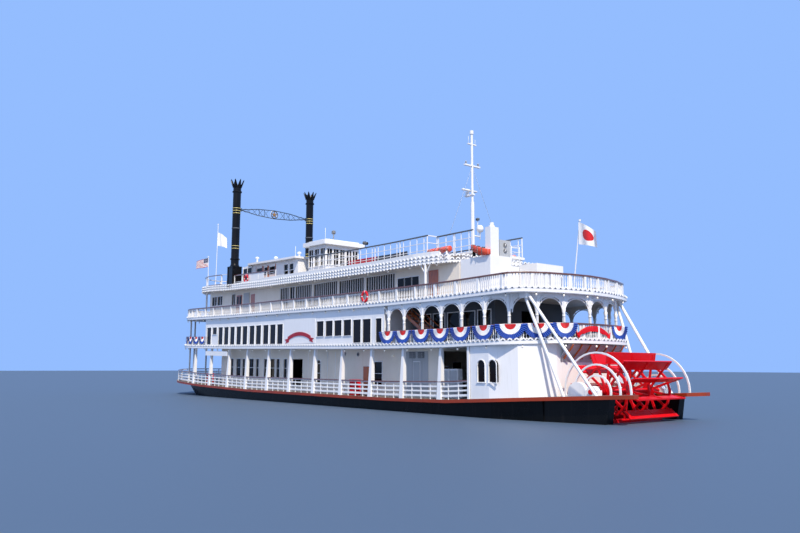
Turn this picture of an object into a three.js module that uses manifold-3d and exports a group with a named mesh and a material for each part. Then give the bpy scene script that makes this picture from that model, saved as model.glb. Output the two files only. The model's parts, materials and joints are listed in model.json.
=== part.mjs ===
// A stern-wheel paddle steamer with a black hull, a red wheel and four white decks.
// Sizes are in metres of the real ship: x runs forward from the guard tips at the stern,
// y to port and z up from the waterline. MODEL turns them into the 1:2 model's millimetres.
import * as THREE from 'three';
import { mergeVertices } from 'three/addons/utils/BufferGeometryUtils.js';
import Module from 'manifold-3d';

const wasm = await Module();
wasm.setup();

const MODEL = 500;
const LENGTH = 59;
const DRAFT = 1.5;
const HALF_BEAM = 5.4;
const GAP = 0.0006; // clearance that touching pieces keep

// Height of the guard's top edge along the ship, and how far decks 2 and 3 (DECK_RISE) and the decks above
// them (TOP_RISE) rise along it
const GUARD_LINE = [
  [-2, 1.62], [0, 1.56], [6, 1.27], [12, 0.95], [18, 0.87], [38, 0.92], [48, 1.14], [54, 1.38], [61, 1.66],
];
const DECK_RISE = [
  [-2, 0.3], [3, 0.14], [7, 0.04], [12, -0.03], [18, 0], [25, 0.1], [30, 0.2], [42, 0.4], [50, 0.6], [61, 1],
];
const TOP_RISE = [
  [-2, 0], [12, 0], [20, 0.02], [26, 0.13], [30, 0.24], [37, 0.4], [44, 0.65], [50, 0.98], [56, 1.35], [61, 1.6],
];

const GUARD_THICK = 0.2;
const SLAB_THICK = 0.2;
const DECK_2 = 4.13; // underside of each upper deck at its lowest point
const DECK_3 = 7.03;
const DECK_4 = 9.62;
const SUN_DECK = 10.3;
const THIN_SLAB = 0.16; // thickness of the fourth deck and the sun deck
const PARAPET = [[-2, 0.78], [36, 0.78], [44, 0.48], [61, 0.48]]; // its height round the fourth deck
const WALL = 0.1;

const WHEEL = { x: 2.8, z: 1.62, radius: 2.15, halfWidth: 2.3, shaft: 0.13, buckets: 12, depth: 0.6 };
const RECESS = { x: 5.12, y: 2.45 }; // open space in the hull for the wheel
const HOOP = { y: 2.8, radius: 2.14, thick: 0.09 };

const PAINT = {
  white: [0xf2f1ee, 0.55, 0],
  cream: [0xece2cf, 0.6, 0],
  grey: [0xb9bcc0, 0.6, 0],
  deck: [0x8d8f8c, 0.85, 0],
  black: [0x14161a, 0.35, 0],
  brown: [0x6d2f1e, 0.6, 0],
  red: [0xc8151c, 0.4, 0],
  door: [0x7c3f1c, 0.5, 0],
  steel: [0x8b8f94, 0.4, 0.8],
  cloth: [0xf4f2ee, 0.9, 0],
  stripes: [0xb3303a, 0.9, 0],
  orange: [0xd9683c, 0.5, 0],
};

// Lines and plans

function heightOn(line, x) {
  for (let i = 1; i < line.length; i += 1) {
    const [x0, z0] = line[i - 1];
    const [x1, z1] = line[i];
    if (x <= x1) return z0 + ((z1 - z0) * (x - x0)) / (x1 - x0);
  }
  return line[line.length - 1][1];
}
const guardTop = (x) => heightOn(GUARD_LINE, x);
const riseAt = (x) => heightOn(DECK_RISE, x);
const topRiseAt = (x) => heightOn(TOP_RISE, x);
const shifted = (line, dz) => line.map(([x, z]) => [x, z + dz]);
const guardAt = (dz) => shifted(GUARD_LINE, dz);
const deckAt = (z) => shifted(DECK_RISE, z);
const topAt = (z) => shifted(TOP_RISE, z);

// Port half of a plan: the given aft points, a straight side and a rounded bow
function halfPlan({ aft, bow, round, half, steps = 7, ends = 0.85 }, inset = 0) {
  const points = aft.map(([x, y]) => [x, y - inset]);
  const reach = round - inset;
  for (let i = 0; i <= steps; i += 1) {
    const turn = (i / steps) * (Math.PI / 2);
    const x = bow - round + reach * Math.sin(turn) ** 0.9;
    const y = (half - inset) * Math.cos(turn) ** ends;
    points.push([x, i === steps ? 0 : y]);
  }
  return points;
}
function mirrored(half) {
  const starboard = half.filter(([, y]) => y > 0).map(([x, y]) => [x, -y]).reverse();
  return [...half, ...starboard];
}
const plan = (shape, inset) => mirrored(halfPlan(shape, inset));

const GUARD_PLAN = {
  aft: [[0.7, RECESS.y], [0, 3.25], [0, 3.66], [2.5, 4.25], [5.5, 4.92], [8.5, HALF_BEAM]],
  bow: LENGTH, round: 7.4, half: HALF_BEAM,
};
const DECK_2_PLAN = {
  aft: [[4.4, 0], [4.5, 1.8], [4.75, 3.0], [5.2, 3.6], [5.9, 4.2], [6.6, 4.85], [7.3, HALF_BEAM]],
  bow: 57.2, round: 7.4, half: HALF_BEAM,
};
const DECK_3_PLAN = {
  aft: [[4.9, 0], [5.05, 1.8], [5.45, 3.6], [5.95, 4.9], [6.6, HALF_BEAM]],
  bow: 56.8, round: 7.2, half: HALF_BEAM,
};
const DECK_4_PLAN = {
  aft: [[12.3, 0], [12.3, 3.5], [12.9, 4.15], [14.2, 4.55], [15.8, 4.75]],
  bow: 56.2, round: 10.2, half: 4.75, ends: 1.2,
};

// Solids

function solid(geometry) {
  geometry.deleteAttribute('normal');
  geometry.deleteAttribute('uv');
  const merged = mergeVertices(geometry, 1e-5);
  return new wasm.Manifold(new wasm.Mesh({
    numProp: 3,
    vertProperties: new Float32Array(merged.attributes.position.array),
    triVerts: new Uint32Array(merged.index.array),
  }));
}
function box(x0, x1, y0, y1, z0, z1) {
  const geometry = new THREE.BoxGeometry(x1 - x0, y1 - y0, z1 - z0);
  return solid(geometry.translate((x0 + x1) / 2, (y0 + y1) / 2, (z0 + z1) / 2));
}
function shapeOf(points) {
  return new THREE.Shape(points.map(([a, b]) => new THREE.Vector2(a, b)));
}
// Upright prism on a plan given in x and y
function prism(points, z0, z1) {
  const geometry = new THREE.ExtrudeGeometry(shapeOf(points), { depth: z1 - z0, bevelEnabled: false });
  return solid(geometry.translate(0, 0, z0));
}
// Prism across the ship on an outline given in x and z
function crossPrism(outline, y0, y1) {
  const shape = outline instanceof THREE.Shape ? outline : shapeOf(outline);
  const geometry = new THREE.ExtrudeGeometry(shape, { depth: y1 - y0, bevelEnabled: false, curveSegments: 6 });
  return solid(geometry.rotateX(Math.PI / 2).translate(0, y1, 0));
}
// Prism along the ship on an outline given in y and z
function longPrism(outline, x0, x1) {
  const shape = outline instanceof THREE.Shape ? outline : shapeOf(outline);
  const geometry = new THREE.ExtrudeGeometry(shape, { depth: x1 - x0, bevelEnabled: false, curveSegments: 6 });
  return solid(geometry.rotateX(Math.PI / 2).rotateZ(Math.PI / 2).translate(x0, 0, 0));
}
function rodAlong(axis, radius, from, to, at, sides = 8) {
  const geometry = new THREE.CylinderGeometry(radius, radius, to - from, sides);
  const middle = (from + to) / 2;
  if (axis === 'z') return solid(geometry.rotateX(Math.PI / 2).translate(at[0], at[1], middle));
  if (axis === 'x') return solid(geometry.rotateZ(Math.PI / 2).translate(middle, at[0], at[1]));
  return solid(geometry.translate(at[0], middle, at[1]));
}
function rodBetween(from, to, radius, sides = 8) {
  const start = new THREE.Vector3(...from);
  const end = new THREE.Vector3(...to);
  const along = end.clone().sub(start);
  const geometry = new THREE.CylinderGeometry(radius, radius, along.length(), sides);
  const upright = new THREE.Vector3(0, 1, 0);
  geometry.applyQuaternion(new THREE.Quaternion().setFromUnitVectors(upright, along.clone().normalize()));
  return solid(geometry.translate(...start.add(end).multiplyScalar(0.5)));
}
function turned(profile, x, y, sides = 12) {
  const geometry = new THREE.LatheGeometry(profile.map(([r, z]) => new THREE.Vector2(r, z)), sides);
  return solid(geometry.rotateX(Math.PI / 2).translate(x, y, 0));
}
function joined(pieces) {
  return pieces.reduce((whole, piece) => whole.add(piece));
}
function without(whole, cutters) {
  return cutters.reduce((rest, cutter) => rest.subtract(cutter), whole);
}
// What of a solid lies between two lines of the side view
function between(whole, low, high) {
  const outline = [...low, ...[...high].reverse()];
  return whole.intersect(crossPrism(outline, -8, 8));
}
function layer(points, low, high) {
  return between(prism(points, -3, 24), low, high);
}
// Upright band that follows a plan's edge, from one inset to another
function edgeBand(shape, outer, inner, low, high) {
  return layer(plan(shape, outer), low, high).subtract(prism(plan(shape, inner), -4, 25));
}

const group = new THREE.Group();
function add(name, paint, whole) {
  const [color, roughness, metalness] = PAINT[paint];
  const mesh = whole.getMesh();
  const geometry = new THREE.BufferGeometry();
  const places = new Float32Array(mesh.vertProperties.length);
  for (let i = 0; i < places.length; i += 3) {
    places[i] = (mesh.vertProperties[i] - LENGTH / 2) * MODEL;
    places[i + 1] = mesh.vertProperties[i + 1] * MODEL;
    places[i + 2] = (mesh.vertProperties[i + 2] + DRAFT) * MODEL;
  }
  geometry.setAttribute('position', new THREE.BufferAttribute(places, 3));
  geometry.setIndex(new THREE.BufferAttribute(new Uint32Array(mesh.triVerts), 1));
  const part = new THREE.Mesh(geometry, new THREE.MeshStandardMaterial({ color, roughness, metalness }));
  part.name = name;
  group.add(part);
}
const SIDES = [['port', 1], ['stbd', -1]];
const ROUND = 24; // sides of a shaft and of the bore that it turns in
const boreFor = (radius) => radius / Math.cos(Math.PI / ROUND) + GAP;
function flip(whole, side) {
  return side > 0 ? whole : whole.mirror([0, 1, 0]);
}

// Hull

function hull() {
  // z, half beam, bow, length of the bow's curve, stern
  const levels = [
    [-DRAFT, 4.4, 51.5, 12, 13],
    [-0.95, 4.85, 53.8, 12, 8.2],
    [-0.45, 4.95, 55.2, 11, RECESS.x + GAP],
    [2.2, 5.15, 58.2, 8.5, RECESS.x + GAP],
  ];
  const steps = 8;
  const rings = levels.map(([z, half, bow, round, stern]) => {
    const shape = { aft: [[stern, half - 0.55], [stern + 3.4, half]], bow, round, half, steps };
    return plan(shape).map(([x, y]) => [x, y, z]);
  });
  const count = rings[0].length;
  const places = rings.flat(2);
  const faces = [];
  for (let level = 0; level < rings.length - 1; level += 1) {
    for (let i = 0; i < count; i += 1) {
      const j = (i + 1) % count;
      const a = level * count + i;
      const b = level * count + j;
      faces.push(a, a + count, b, b, a + count, b + count);
    }
  }
  const capTop = (rings.length - 1) * count;
  for (let i = 1; i < count - 1; i += 1) {
    faces.push(0, i, i + 1);
    faces.push(capTop, capTop + i + 1, capTop + i);
  }
  const geometry = new THREE.BufferGeometry();
  geometry.setAttribute('position', new THREE.Float32BufferAttribute(places, 3));
  geometry.setIndex(faces);
  const { x, y, stock } = RUDDER;
  const stocks = SIDES.map(([, side]) => rodAlong('z', boreFor(stock), -2, 0.65, [x, side * y], ROUND));
  const whole = between(solid(geometry), guardAt(-10), guardAt(-GUARD_THICK - GAP));
  add('hull', 'black', without(whole, stocks));
}

function sponsons() {
  const outline = [[1.3, 3.1], [RECESS.x, RECESS.y], [RECESS.x, 4.38], [1.3, 3.55]];
  const rake = [[1.75, -0.2], [RECESS.x + 1, -0.5], [RECESS.x + 1, 3], [1.15, 3]];
  const whole = between(prism(outline, -2, 3), guardAt(-10), guardAt(-GUARD_THICK - GAP));
  for (const [name, side] of SIDES) {
    add(`sponson_${name}`, 'black', flip(whole.intersect(crossPrism(rake, 0, 6)), side));
  }
}

const RUDDER = { x: 6.3, y: 1.7, stock: 0.09, low: -1.44, high: -0.84, ahead: 0.6, behind: 1.6 };
function rudders() {
  for (const [name, side] of SIDES) {
    const y = side * RUDDER.y;
    const blade = prism([
      [RUDDER.x - RUDDER.behind, y - 0.02], [RUDDER.x + 0.1, y - 0.1], [RUDDER.x + RUDDER.ahead, y - 0.03],
      [RUDDER.x + RUDDER.ahead, y + 0.03], [RUDDER.x + 0.1, y + 0.1], [RUDDER.x - RUDDER.behind, y + 0.02],
    ], RUDDER.low, RUDDER.high);
    const stock = rodAlong('z', RUDDER.stock, RUDDER.low, 0.6, [RUDDER.x, y], ROUND);
    add(`rudder_${name}`, 'black', blade.add(stock));
  }
}

function mainDeck() {
  const arms = prism([[-1, -RECESS.y], [RECESS.x, -RECESS.y], [RECESS.x, RECESS.y], [-1, RECESS.y]], -3, 5);
  const whole = layer(plan(GUARD_PLAN), guardAt(-GUARD_THICK), guardAt(0));
  add('main_deck', 'brown', whole.subtract(arms));
}

// Paddle wheel and what carries it

function ring(radius, thick, y0, y1, sides) {
  const outer = rodAlong('y', radius, y0, y1, [WHEEL.x, WHEEL.z], sides);
  return outer.subtract(rodAlong('y', radius - thick, y0 - 1, y1 + 1, [WHEEL.x, WHEEL.z], sides));
}
function aroundWheel(piece, angle) {
  return piece.translate([-WHEEL.x, 0, -WHEEL.z]).rotate([0, angle, 0]).translate([WHEEL.x, 0, WHEEL.z]);
}
function paddleWheel() {
  const { x, z, radius, halfWidth, shaft, buckets, depth } = WHEEL;
  const spiders = [-2, 0, 2];
  const pieces = [rodAlong('y', shaft, -3.42, 3.42, [x, z], ROUND)];
  for (const y of spiders) {
    pieces.push(rodAlong('y', 0.36, y - 0.09, y + 0.09, [x, z], 12));
    pieces.push(ring(1.42, 0.12, y - 0.05, y + 0.05, buckets));
  }
  for (let i = 0; i < buckets; i += 1) {
    const angle = (i * 360) / buckets - 10;
    const bucket = box(x + radius - depth, x + radius, -halfWidth, halfWidth, z - 0.035, z + 0.035);
    pieces.push(aroundWheel(bucket, angle));
    for (const y of spiders) {
      const arm = box(x + 0.2, x + radius - 0.06, y - 0.04, y + 0.04, z - 0.06, z + 0.06);
      pieces.push(aroundWheel(arm, angle));
    }
  }
  add('paddle_wheel', 'red', joined(pieces));
}
function bearings() {
  const foot = guardTop(WHEEL.x) + 0.01;
  for (const [name, side] of SIDES) {
    const block = box(WHEEL.x - 0.42, WHEEL.x + 0.42, 2.95, 3.32, foot - 0.4, WHEEL.z + 0.1);
    const cap = rodAlong('y', 0.32, 2.95, 3.32, [WHEEL.x, WHEEL.z], 16);
    const casing = rodAlong('y', 0.62, 3.0, 3.3, [WHEEL.x + 0.95, WHEEL.z - 0.1], 16);
    const bore = rodAlong('y', boreFor(WHEEL.shaft), 2, 4, [WHEEL.x, WHEEL.z], ROUND);
    const whole = between(joined([block, cap, casing]), guardAt(GAP), guardAt(6)).subtract(bore);
    add(`bearing_${name}`, 'white', flip(whole, side));
  }
}
function wheelGuards() {
  // radius of each hoop
  const hoops = [HOOP.radius, 1.5, 0.92];
  for (const [name, side] of SIDES) {
    const y0 = HOOP.y - HOOP.thick / 2;
    const y1 = HOOP.y + HOOP.thick / 2;
    const sill = box(WHEEL.x - HOOP.radius, WHEEL.x + HOOP.radius, y0, y1, 1, WHEEL.z - 0.2);
    const rings = hoops.map((radius) => ring(radius, HOOP.thick, y0, y1, 36));
    const whole = between(joined([sill, ...rings]), guardAt(GAP), guardAt(6));
    add(`wheel_guard_${name}`, 'white', flip(whole, side));
  }
}
function struts() {
  // foot x, foot y, head x, head y
  const legs = [[2.0, 3.5, 6.3, 4.4], [4.2, 3.65, 6.45, 4.42]];
  for (const [name, side] of SIDES) {
    const rods = legs.map(([x0, y0, x1, y1]) => rodBetween([x0, y0, 1], [x1, y1, 7.3], 0.09));
    const plate = box(6.05, 6.55, 4.36, 4.6, 6.8, 7.3);
    const whole = between(joined([...rods, plate]), guardAt(GAP), deckAt(DECK_3 - GAP));
    add(`struts_${name}`, 'white', flip(whole, side));
  }
}

// Houses

// Cutters for rows of openings in both side walls: their middles, width and edges, and how far they follow
// the deck's rise
function sideCuts(rows, half, rises = riseAt) {
  const cuts = [];
  for (const { at, wide, low, high, arch = false, rise = 1 } of rows) {
    for (const x of at) {
      const lift = rise * rises(x);
      cuts.push(box(x - wide / 2, x + wide / 2, -half - 1, half + 1, low + lift, high + lift));
      if (arch) cuts.push(rodAlong('y', wide / 2, -half - 1, half + 1, [x, high + lift], 12));
    }
  }
  return cuts;
}
function walls(outer, inner, low, high) {
  return layer(outer, low, high).subtract(prism(inner, -5, 25));
}
function rectangle(x0, x1, half) {
  return [[x0, -half], [x1, -half], [x1, half], [x0, half]];
}
function roomWalls(x0, x1, half, low, high) {
  return walls(rectangle(x0, x1, half), rectangle(x0 + WALL, x1 - WALL, half - WALL), low, high);
}

const MAIN_HOUSE = { from: 14.2, to: 46.5, half: 3.9, backHalf: 3.75 };
const DOOR = { wide: 0.82, high: 2.0, thick: 0.05, slack: 0.012 };
const MAIN_DOOR = 21.7; // x of the main deck door's after jamb
const SALOON_DOOR = 40.24; // x of the third deck door's after jamb
function doorCut(x, half, sill) {
  return box(x - GAP, x + DOOR.wide + DOOR.slack, -half - 1, half + 1, sill, sill + DOOR.high + DOOR.slack);
}
function mainHouse() {
  const { from, to, half, backHalf } = MAIN_HOUSE;
  const rows = [
    { at: [20.7], wide: 0.95, low: 1.63, high: 3.26 },
    { at: [28.6], wide: 0.58, low: 1.47, high: 2.99, arch: true },
    { at: [31.95], wide: 1.7, low: 1.05, high: 3.3 },
    { at: [33.9, 35.17, 38.95, 41.67, 44.1], wide: 0.56, low: 1.85, high: 3.42, rise: 0.5 },
    { at: [36.2, 37.25, 40.15, 42.75], wide: 0.92, low: 1.85, high: 3.42, rise: 0.5 },
  ];
  const cuts = [...sideCuts(rows, half), doorCut(MAIN_DOOR, half, guardTop(MAIN_DOOR) + 0.06)];
  const front = [-2.4, -0.8, 0.8, 2.4].map((y) => box(to - 1, to + 1, y - 0.45, y + 0.45, 1.9, 3.5));
  const back = box(from - 0.5, from + 0.5, -backHalf, backHalf, guardTop(from) + 0.06, 3.95);
  const whole = roomWalls(from, to, half, guardAt(GAP), deckAt(DECK_2 - GAP));
  add('main_house', 'white', without(whole, [...cuts, ...front, back]));
}

const ENGINE_HOUSE = { to: 9.9, engineTo: 8.8 };
function engineHouse() {
  const { to } = ENGINE_HOUSE;
  const outer = mirrored([[5.35, 0], [5.35, 2.9], [5.7, 3.9], [6.6, 4.75], [8.4, 5.25], [to, 5.25]]);
  const inner = mirrored([[5.45, 0], [5.45, 2.85], [5.8, 3.8], [6.65, 4.65], [8.4, 5.15], [to - WALL, 5.15]]);
  const rows = [{ at: [8.09, 9.0], wide: 0.6, low: 2.05, high: 3.03, arch: true }];
  const back = box(to - 0.5, to + 1, -1.2, 1.2, guardTop(9.5) + 0.06, 3.3);
  const whole = walls(outer, inner, guardAt(GAP), deckAt(DECK_2 - GAP));
  add('engine_house', 'white', without(whole, [...sideCuts(rows, 5.3), back]));
  const engine = box(6.6, ENGINE_HOUSE.engineTo, -1.5, 1.5, 0, 2.9);
  add('engine', 'grey', between(engine, guardAt(GAP), guardAt(5)));
}

const HOUSE_2 = { from: 18.3, to: 47.6, half: 5.22 };
function houseTwo() {
  const { from, to, half } = HOUSE_2;
  const low = DECK_2 + SLAB_THICK;
  const tall = [46.7, 44.08, 42.83, 41.54, 40.23, 39.0, 37.63, 36.41, 35.08, 33.84, 32.62];
  const rows = [
    { at: tall, wide: 0.95, low: low + 0.22, high: low + 1.86 },
    { at: [45.41], wide: 0.95, low: low + 1.2, high: low + 1.86 },
    { at: [26.39, 25.13, 23.94, 22.71], wide: 0.97, low: low + 0.78, high: low + 1.93 },
    { at: [21.5, 20.31], wide: 0.95, low: low + 0.25, high: low + 1.9 },
    { at: [18.9], wide: 0.66, low: low + 0.25, high: low + 1.9 },
  ];
  const front = [-3.6, -1.8, 0, 1.8, 3.6].map((y) => (
    box(to - 1, to + 1, y - 0.6, y + 0.6, low + 0.9, low + 2.3)
  ));
  const back = box(from - 1, from + 1, -2.6, 2.6, low + 0.2, low + 2.1);
  const whole = roomWalls(from, to, half, deckAt(low + GAP), deckAt(DECK_3 - GAP));
  add('house_2', 'white', without(whole, [...sideCuts(rows, half), ...front, back]));
}
const LOUNGE = { from: 9.7, to: 17.6, half: 3.3 };
function lounge() {
  const low = DECK_2 + SLAB_THICK;
  const rows = [{ at: [10.6, 12, 13.4, 14.8, 16.2], wide: 1.1, low: low + 0.8, high: low + 2.1 }];
  const whole = roomWalls(LOUNGE.from, LOUNGE.to, LOUNGE.half, deckAt(low + GAP), deckAt(DECK_3 - GAP));
  const ends = box(5, 19, -0.9, 0.9, low + 0.2, low + 2.1);
  add('lounge_2', 'grey', without(whole, [...sideCuts(rows, LOUNGE.half), ends]));
}

const HOUSE_3 = { from: 12.3, to: 50.2, half: 3.7 };
function houseThree() {
  const { from, to, half } = HOUSE_3;
  const low = DECK_3 + SLAB_THICK;
  const rows = [
    { at: [20.78, 28.12], wide: 3.45, low: low + 0.5, high: low + 2.25 },
    { at: [24.45], wide: 3.3, low: low + 0.5, high: low + 2.25 },
    { at: [31.5], wide: 2.6, low: low + 0.5, high: low + 2.25 },
    { at: [34.68], wide: 1.45, low: low + 0.5, high: low + 2.25 },
    { at: [33.35, 44.7], wide: 0.8, low: low + 1.1, high: low + 2.25 },
    { at: [47.8, 49.1], wide: 1.15, low: low + 1.3, high: low + 2.2 },
  ];
  const sill = low + riseAt(SALOON_DOOR + 1) + 0.06;
  const cuts = [...sideCuts(rows, half), doorCut(SALOON_DOOR, half, sill)];
  const front = [-2.2, 0, 2.2].map((y) => box(to - 1, to + 1, y - 0.7, y + 0.7, low + 1.5, low + 2.4));
  const back = box(from - 1, from + 1, -2.4, -0.8, low + 0.2, low + 2.2);
  const whole = roomWalls(from, to, half, deckAt(low + GAP), topAt(DECK_4 - GAP));
  add('house_3', 'cream', without(whole, [...cuts, ...front, back]));
}

function doors() {
  const places = [
    ['main_door', MAIN_DOOR, MAIN_HOUSE.half, guardTop(MAIN_DOOR) + 0.06],
    ['saloon_door', SALOON_DOOR, HOUSE_3.half, DECK_3 + SLAB_THICK + riseAt(SALOON_DOOR + 1) + 0.06],
  ];
  for (const [label, x, half, sill] of places) {
    for (const [name, side] of SIDES) {
      const leaf = box(x, x + DOOR.wide, half - DOOR.thick, half, sill + DOOR.slack, sill + DOOR.high);
      add(`${label}_${name}`, 'door', flip(leaf, side));
    }
  }
}

const TEXAS = { from: 34.9, to: 43.6, half: 2.3, high: 2.45 };
function texas() {
  const { from, to, half, high } = TEXAS;
  const low = DECK_4 + THIN_SLAB;
  const outer = mirrored([[from, half], [to, half], [to + 1.4, 1.6], [to + 1.9, 0]]);
  const inner = mirrored([[from + WALL, half - WALL], [to, half - WALL], [to + 1.33, 1.5], [to + 1.8, 0]]);
  const rows = [
    { at: [39.6, 42.15], wide: 1.15, low: low + 1.15, high: low + 2.05 },
    { at: [36, 37, 40.87], wide: 0.7, low: low + 1.15, high: low + 2.05 },
  ];
  const roof = mirrored([[from - 0.2, half + 0.45], [to + 0.2, half + 0.45], [to + 1.9, 1.8], [to + 2.5, 0]]);
  const sill = low + topRiseAt(from) + 0.08;
  const back = box(from - 1, from + 1, -0.5, 0.5, sill, sill + 2);
  const whole = walls(outer, inner, topAt(low + GAP), topAt(low + high));
  const cover = layer(roof, topAt(low + high - 0.02), topAt(low + high + THIN_SLAB));
  add('texas_house', 'white', without(whole, [...sideCuts(rows, half, topRiseAt), back]).add(cover));
}

const PILOT = { from: 31.2, to: 34.0, half: 1.75, high: 2.72, eaves: 0.38 };
function pilothouse() {
  const { from, to, half, high, eaves } = PILOT;
  const low = SUN_DECK + THIN_SLAB;
  const rows = [{ at: [31.65, 32.6, 33.55], wide: 0.7, low: low + 0.9, high: low + 2.4 }];
  const sill = low + topRiseAt(to) + 0.9;
  const ends = [-1.35, -0.68, 0, 0.68, 1.35].map((y) => (
    box(from - 1, to + 1, y - 0.26, y + 0.26, sill, sill + 1.4)
  ));
  const whole = roomWalls(from, to, half, topAt(low + GAP), topAt(low + high));
  const cover = rectangle(from - eaves, to + eaves, half + eaves);
  const roof = layer(cover, topAt(low + high - 0.02), topAt(low + high + 0.34));
  const crown = layer(rectangle(from, to, half), topAt(low + high + 0.3), topAt(low + high + 0.48));
  const cuts = [...sideCuts(rows, half, topRiseAt), ...ends];
  add('pilothouse', 'white', joined([without(whole, cuts), roof, crown]));
}

// Upper decks

const SUN = { from: 12.35, step: 15.9, to: 34.75, aftHalf: 2.5, half: 3.4 };
function sunPlan(inset) {
  const { from, step, to, aftHalf, half } = SUN;
  return mirrored([
    [from + inset, aftHalf - inset], [step + inset, aftHalf - inset],
    [step + inset, half - inset], [to - inset, half - inset],
  ].reverse());
}
// Where columns hold up the bow of decks 2 and 3, and of deck 4
const BOW_COLUMNS = mirrored([[53.2, 4.4], [55.2, 3.1], [56.35, 1.2]]);
const BOW_COLUMNS_4 = mirrored([[51.3, 3.6], [53.6, 2.6], [55.2, 1.3]]);
function standing(places, low, high) {
  return places.map(([x, y]) => post(x, y, 0.14, low, high));
}
function upperDecks() {
  const second = layer(plan(DECK_2_PLAN), deckAt(DECK_2), deckAt(DECK_2 + SLAB_THICK));
  const underBalcony = layer(rectangle(4, 5.25, 6), deckAt(0), deckAt(DECK_2 + 0.08));
  const legs = standing(BOW_COLUMNS, guardAt(GAP), deckAt(DECK_2 + 0.02));
  add('deck_2', 'white', joined([second.subtract(underBalcony), ...legs]));
  const third = layer(plan(DECK_3_PLAN), deckAt(DECK_3), deckAt(DECK_3 + SLAB_THICK));
  const posts = standing(BOW_COLUMNS, deckAt(DECK_2 + SLAB_THICK + GAP), deckAt(DECK_3 + 0.02));
  add('deck_3', 'white', joined([third, ...posts]));
  const slab = layer(plan(DECK_4_PLAN), topAt(DECK_4), topAt(DECK_4 + THIN_SLAB));
  const stations = [-2, 12, 20, 26, 30, 36, 44, 50, 56, 61];
  const parapet = stations.map((x) => [x, DECK_4 + topRiseAt(x) + heightOn(PARAPET, x)]);
  const edge = edgeBand(DECK_4_PLAN, 0, 0.07, topAt(DECK_4), parapet);
  const besideBox = CHIMNEY.boxLong + GAP;
  const open = [rectangle(12, 13.6, 6), rectangle(CHIMNEY.x - besideBox, CHIMNEY.x + besideBox, 6)];
  const gates = open.map((points) => layer(points, topAt(DECK_4 + THIN_SLAB), topAt(DECK_4 + 2)));
  const stands = standing(BOW_COLUMNS_4, deckAt(DECK_3 + SLAB_THICK + GAP), topAt(DECK_4 + 0.02));
  const fence = { planks: SIDE_PLANKS, low: DECK_4 + 0.1, line: topAt, size: 0.07 };
  const end = CHIMNEY.x - CHIMNEY.boxLong - 0.05;
  const port = joined(straightRail({ ...fence, x0: 35, x1: end, y: 4.45, posts: spaced(35.05, end - 0.05, 1.6) }));
  add('deck_4', 'white', joined([slab, without(edge, gates), ...stands, port, port.mirror([0, 1, 0])]));
  const top = layer(sunPlan(0), topAt(SUN_DECK), topAt(SUN_DECK + THIN_SLAB));
  const rim = layer(sunPlan(0.15), topAt(DECK_4 + THIN_SLAB + GAP), topAt(SUN_DECK + 0.05));
  add('sun_deck', 'white', top.add(rim));
}

// Rails: planks and a handrail that follow a plan's edge, carried by posts

function post(x, y, size, low, high) {
  return between(box(x - size / 2, x + size / 2, y - size / 2, y + size / 2, -3, 24), low, high);
}

// lift of each plank's underside, its height, its thickness
const MAIN_PLANKS = [[0.16, 0.13, 0.05], [0.46, 0.1, 0.05], [0.74, 0.1, 0.05], [1.0, 0.07, 0.12]];
const DECK_PLANKS = [[0.08, 0.06, 0.06], [0.91, 0.07, 0.12]];
const SIDE_PLANKS = [[0.6, 0.05, 0.04], [1.24, 0.06, 0.08]];
const BOW_PLANKS_4 = [[0.45, 0.06, 0.08], [1.39, 0.06, 0.1]];
const SUN_PLANKS = [[0.4, 0.04, 0.04], [0.9, 0.04, 0.04], [1.39, 0.06, 0.07]];

function straightRail({ x0, x1, y, planks, posts, low, line, size = 0.09 }) {
  const pieces = planks.map(([lift, high, thick]) => between(
    box(x0, x1, y - thick / 2, y + thick / 2, -3, 24), line(low + lift), line(low + lift + high),
  ));
  const top = planks[planks.length - 1][0];
  for (const x of posts) pieces.push(post(x, y, size, line(low + GAP), line(low + top + 0.02)));
  return pieces;
}
function spaced(from, to, step) {
  const count = Math.round((to - from) / step);
  return Array.from({ length: count + 1 }, (_, i) => from + ((to - from) * i) / count);
}
function curvedRail({ shape, inset, window, planks, posts, low, line, size = 0.1 }) {
  const pieces = planks.map(([lift, high, thick]) => edgeBand(
    shape, inset - thick / 2, inset + thick / 2, line(low + lift), line(low + lift + high),
  ).intersect(window));
  const top = planks[planks.length - 1][0];
  for (const [x, y] of posts) pieces.push(post(x, y, size, line(low + GAP), line(low + top + 0.02)));
  return pieces;
}
// Places on a bow's curve, for posts and columns
function bowPlaces(shape, inset, from) {
  const points = halfPlan(shape, inset).filter(([x], i) => x > from && i % 2 === shape.aft.length % 2);
  return mirrored([...points, [shape.bow - inset, 0]]);
}
// Places and sizes of the main deck's columns, which taper and lean inwards
const MAIN_COLUMNS = [12.6, 16.3, 19.8, 23.45, 27.2, 30.9, 34.6, 38.55, 42.25, 46.2, 50];
const FOOT = { z: 0.8, half: 0.19, inner: 5.02, outer: 5.38 };
const HEAD = { z: 4.8, half: 0.08, inner: 5, outer: 5.16 };
function taperedColumn(x) {
  const side = [
    [x - FOOT.half, FOOT.z], [x + FOOT.half, FOOT.z], [x + HEAD.half, HEAD.z], [x - HEAD.half, HEAD.z],
  ];
  const end = [[FOOT.inner, FOOT.z], [FOOT.outer, FOOT.z], [HEAD.outer, HEAD.z], [HEAD.inner, HEAD.z]];
  const whole = crossPrism(side, 4, 6).intersect(longPrism(end, x - 1, x + 1));
  return between(whole, guardAt(GAP), deckAt(DECK_2 - GAP));
}

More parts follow.
